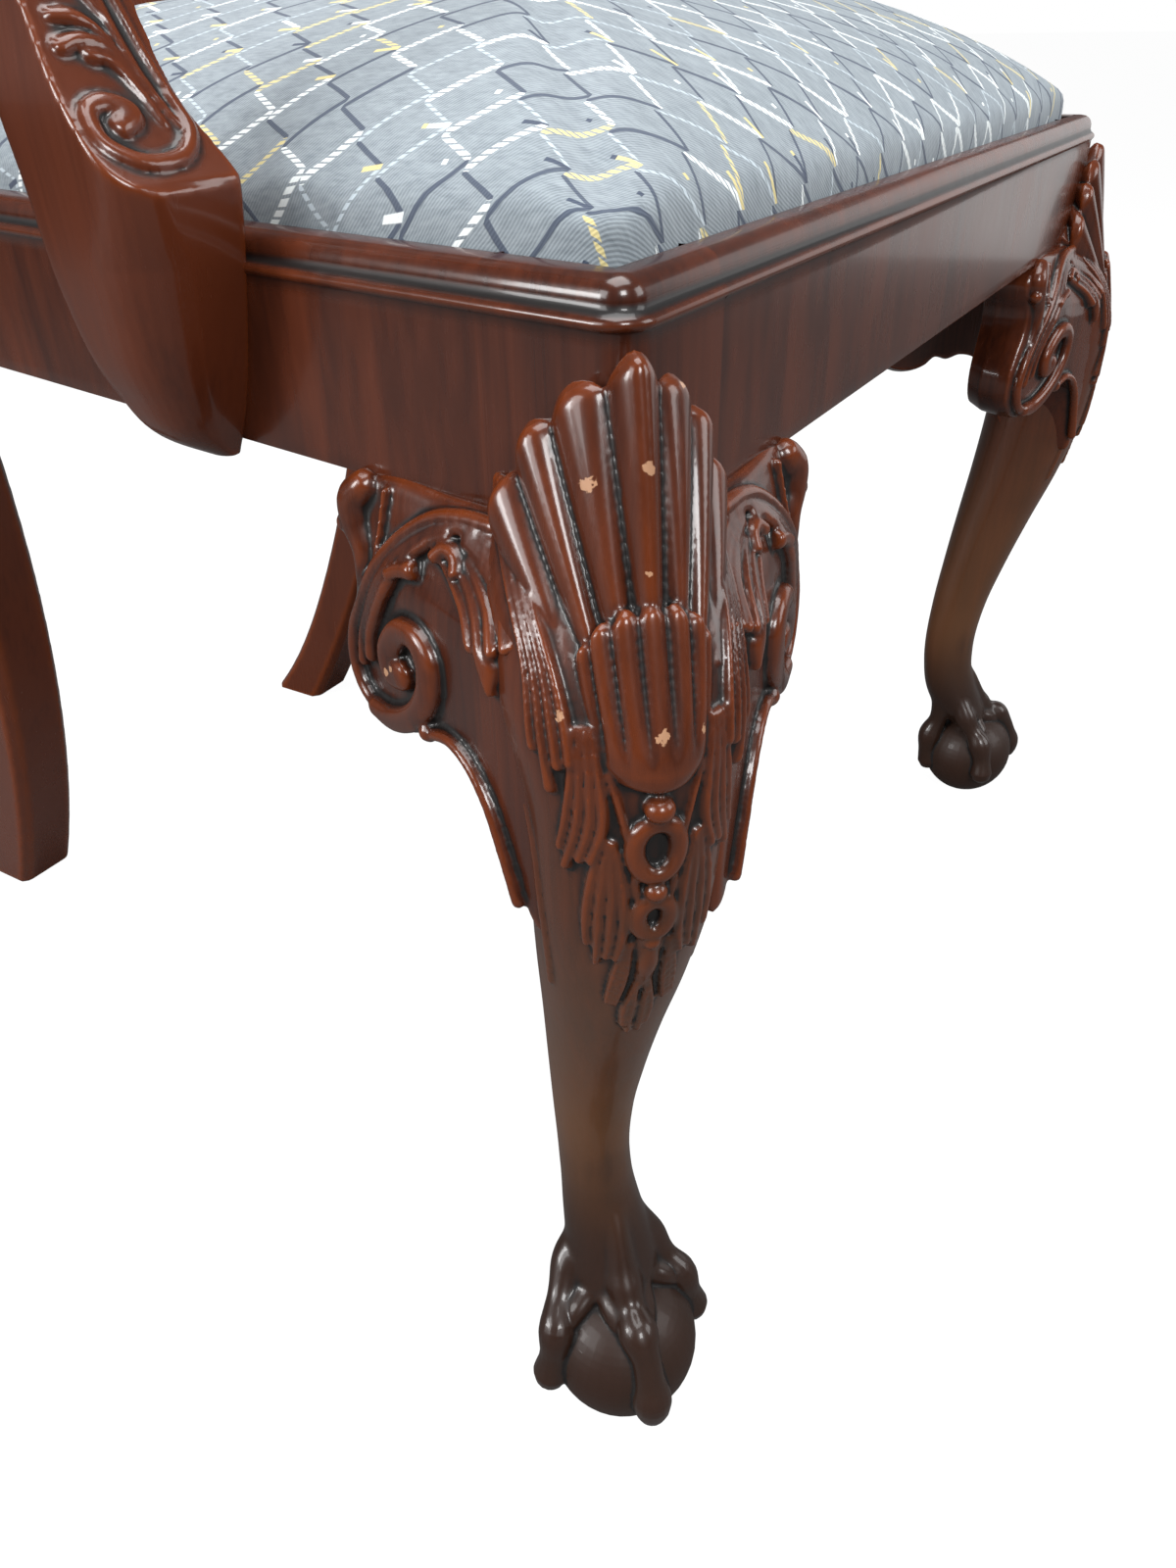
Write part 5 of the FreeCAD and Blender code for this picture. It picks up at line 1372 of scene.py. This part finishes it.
def seat_fabric():
    finish = Finish("seat_fabric")
    cloth = finish.node("ShaderNodeUVMap", {"uv_map": "cloth"}, {})
    sway = (finish.noise(cloth, SWAY_SCALE, 1.0) - 0.5) * SWAY
    x, y, _ = finish.parts(cloth)
    shade = finish.noise(finish.turned(cloth, SHADE_STRETCH), SHADE_SCALE)
    fleck = finish.noise(finish.turned(cloth, FLECK_STRETCH), FLECK_SCALE)
    thread = ((x * TWILL_SLOPE + y) / TWILL).ribs()
    tone = (shade * 0.6 + fleck * 0.45 + thread * 0.3).fade(0.3, 0.95)
    colour = finish.mix(tone, CLOTH_DARK, CLOTH_GROUND)
    across = (y + sway * TWILL_SLOPE) / ROW
    row = across.floor()
    step = (x + sway) / WAVE + row * ROW_SHIFT
    part = step.fraction()
    swing = (part / LEAN).at_most((1 - part) / (1 - LEAN))
    steep = ROW / math.hypot(1, 2 * ROW / WAVE)
    away = (across.fraction() - swing).absolute() * steep
    count = step.floor() * 2 + (part > LEAN)
    chance = drawn(finish, row * STROKE_KEY[0] + count * STROKE_KEY[1] + STROKE_KEY[2])
    beat = (x / DASH).fraction() < DASH_SHARE
    navy = inked(away, STROKE_WIDTH) * (chance < NAVY_BELOW)
    dashed = inked(away, DASH_WIDTH) * beat
    dotted = inked(away, FINE_WIDTH, FINE_FUZZ) * beat * (chance > OCHRE_BELOW)
    to_point = ((step + 0.5).fraction() - 0.5).absolute() * WAVE
    bar_row = (across + 0.5).floor()
    bar_count = (step + 0.5).floor()
    bar_chance = drawn(finish, bar_row * BAR_KEY[0] + bar_count * BAR_KEY[1] + BAR_KEY[2])
    bar = inked(to_point, STROKE_WIDTH) * (across.fraction() < BAR_LENGTH)
    colour = finish.mix(dotted * 0.8, colour, PALE)
    colour = finish.mix(navy * 0.9 + bar * (bar_chance < NAVY_BARS), colour, NAVY)
    chalk = dashed * between(chance, NAVY_BELOW, CHALK_BELOW) + bar * (bar_chance > CHALK_BARS)
    colour = finish.mix(chalk.at_most(1), colour, CHALK)
    ochre_bar = bar * between(bar_chance, OCHRE_BARS, CHALK_BARS)
    colour = finish.mix(dashed * between(chance, CHALK_BELOW, OCHRE_BELOW) + ochre_bar, colour, OCHRE)
    weave = finish.bump(thread * 0.35 + (navy + chalk) * 0.5, 0.6, WEAVE_DEPTH)
    return finish.surface({"Base Color": colour, "Roughness": CLOTH_ROUGHNESS, "Normal": weave,
                           "Sheen Weight": SHEEN, "Sheen Roughness": 0.5,
                           "Specular IOR Level": CLOTH_SPECULAR})


seat_corners, seat_faces, seat_cloth = seat_form()
seat_mesh = plain_mesh("seat_cover", [(seat_corners, seat_faces)])
cloth_map = seat_mesh.uv_layers.new(name="cloth")
loop_corners = np.empty(len(seat_mesh.loops), int)
seat_mesh.loops.foreach_get("vertex_index", loop_corners)
cloth_map.uv.foreach_set("vector", (seat_cloth[loop_corners] * MM).astype(np.float32).ravel())
drawn_tight(seat_mesh)
seat_mesh = modified(seat_mesh, "seat_cover", "SUBSURF", {"levels": 1, "render_levels": 1})
closed_below(seat_mesh)
shaded_smooth(seat_mesh)
cushion = piece("seat_cushion", seat_mesh, seat_fabric(), "drop_in_seat", "seat_fabric",
                "seat_cover", "seat_stuffing")

# The beech inside. The corner blocks and the seat frame are bare sawn beech, pale pinkish brown with
# short dark flecks, and the dowels that join the frame are of the same wood.
BEECH_DARK = paint(166, 122, 84)
BEECH_LIGHT = paint(206, 168, 124)
BEECH_FLECK = paint(128, 86, 54)
BEECH_STRETCH = (1, 1, 0.08)
BEECH_SCALE = 90
BEECH_CLOUD_SCALE = 12
RAY_STRETCH = (1, 1, 0.3)
RAY_SCALE = 800
SAW_DEPTH = 0.0006


def beech(name, turn):
    """Beech with its grain along Z, turned to another axis."""
    finish = Finish(name)
    place = finish.place()
    grain = finish.noise(finish.turned(place, BEECH_STRETCH, turn), BEECH_SCALE, 3.0)
    ray = finish.noise(finish.turned(place, RAY_STRETCH, turn), RAY_SCALE, 1.0)
    cloud = finish.noise(place, BEECH_CLOUD_SCALE)
    tone = (grain * 0.8 + cloud * 0.4 - 0.2).fade(0.1, 0.8)
    colour = finish.mix(tone, BEECH_DARK, BEECH_LIGHT)
    colour = finish.mix(ray.fade(0.62, 0.72) * 0.5, colour, BEECH_FLECK)
    saw = finish.bump(grain * 0.5 + ray * 0.5, 0.25, SAW_DEPTH)
    return finish.surface({"Base Color": colour, "Roughness": 0.62 + ray * 0.15, "Normal": saw})


def finished(material, *names):
    """Gives plain solids their material."""
    for name in names:
        coated(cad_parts[name].data, material)


beech_across = beech("beech_across", ALONG_X)
finished(beech_across, "seat_frame_front", "seat_frame_back", "seat_frame_dowels", "corner_block_front_right",
         "corner_block_front_left", "corner_block_back_right", "corner_block_back_left")
finished(beech("beech_along", ALONG_Y), "seat_frame_right", "seat_frame_left")

# The screws and tacks. Countersunk steel screws hold the corner blocks, supports and arms, with
# mahogany plugs over the arms' heads, and blued tacks hold the cover under the seat frame.
SMUDGE_SCALE = 260


def steel(name, colour, dark):
    """Steel of one colour with smudges of a darker one."""
    finish = Finish(name)
    smudge = finish.noise(finish.place(), SMUDGE_SCALE, 3.0)
    tone = finish.mix(smudge.fade(0.35, 0.75), colour, dark)
    return finish.surface({"Base Color": tone, "Metallic": 1.0, "Roughness": 0.3 + smudge * 0.3})


screw_steel = steel("screw_steel", paint(176, 172, 165), paint(112, 104, 96))
finished(screw_steel, "corner_block_screws", "arm_support_screws", "arm_screws")
finished(steel("blued_steel", paint(74, 78, 92), paint(38, 38, 44)), "seat_cover_tacks")
finished(side_wood, "arm_screw_plugs")

# The cloth under the seat. Herringbone linen webbing crosses the frame, a coarse hessian lies on it
# under the stuffing, and a thin black dust cloth closes the seat from below.
SLUB_STRETCH = (1, 0.15, 1)
SLUB_SCALE = 500
CLOTH_CLOUD_SCALE = 18


def woven(name, light, dark, pitch, rough, worn):
    """A plain weave by its two colours, the pitch of its threads in metres, roughness and wear."""
    finish = Finish(name)
    place = finish.place()
    x, y, _ = finish.parts(place)
    warp = (x / pitch).ribs()
    weft = (y / pitch).ribs()
    slub = finish.noise(finish.turned(place, SLUB_STRETCH), SLUB_SCALE)
    cloud = finish.noise(place, CLOTH_CLOUD_SCALE)
    tone = (warp.at_least(weft) * 0.5 + slub * 0.5 + cloud * worn - worn / 2).fade(0.2, 0.9)
    weave = finish.bump(warp.at_least(weft), 0.5, pitch / 3)
    return finish.surface({"Base Color": finish.mix(tone, dark, light), "Roughness": rough, "Normal": weave})


webbing = woven("webbing", paint(176, 160, 126), paint(122, 104, 74), 0.0016, 0.85, 0.3)
finished(webbing, "seat_webbing_across", "seat_webbing_lengthwise")
finished(woven("hessian", paint(184, 150, 104), paint(118, 88, 52), 0.0024, 0.9, 0.4), "seat_hessian")
finished(woven("dust_cloth", paint(48, 47, 50), paint(24, 23, 25), 0.0011, 0.9, 0.6), "seat_dust_cover")
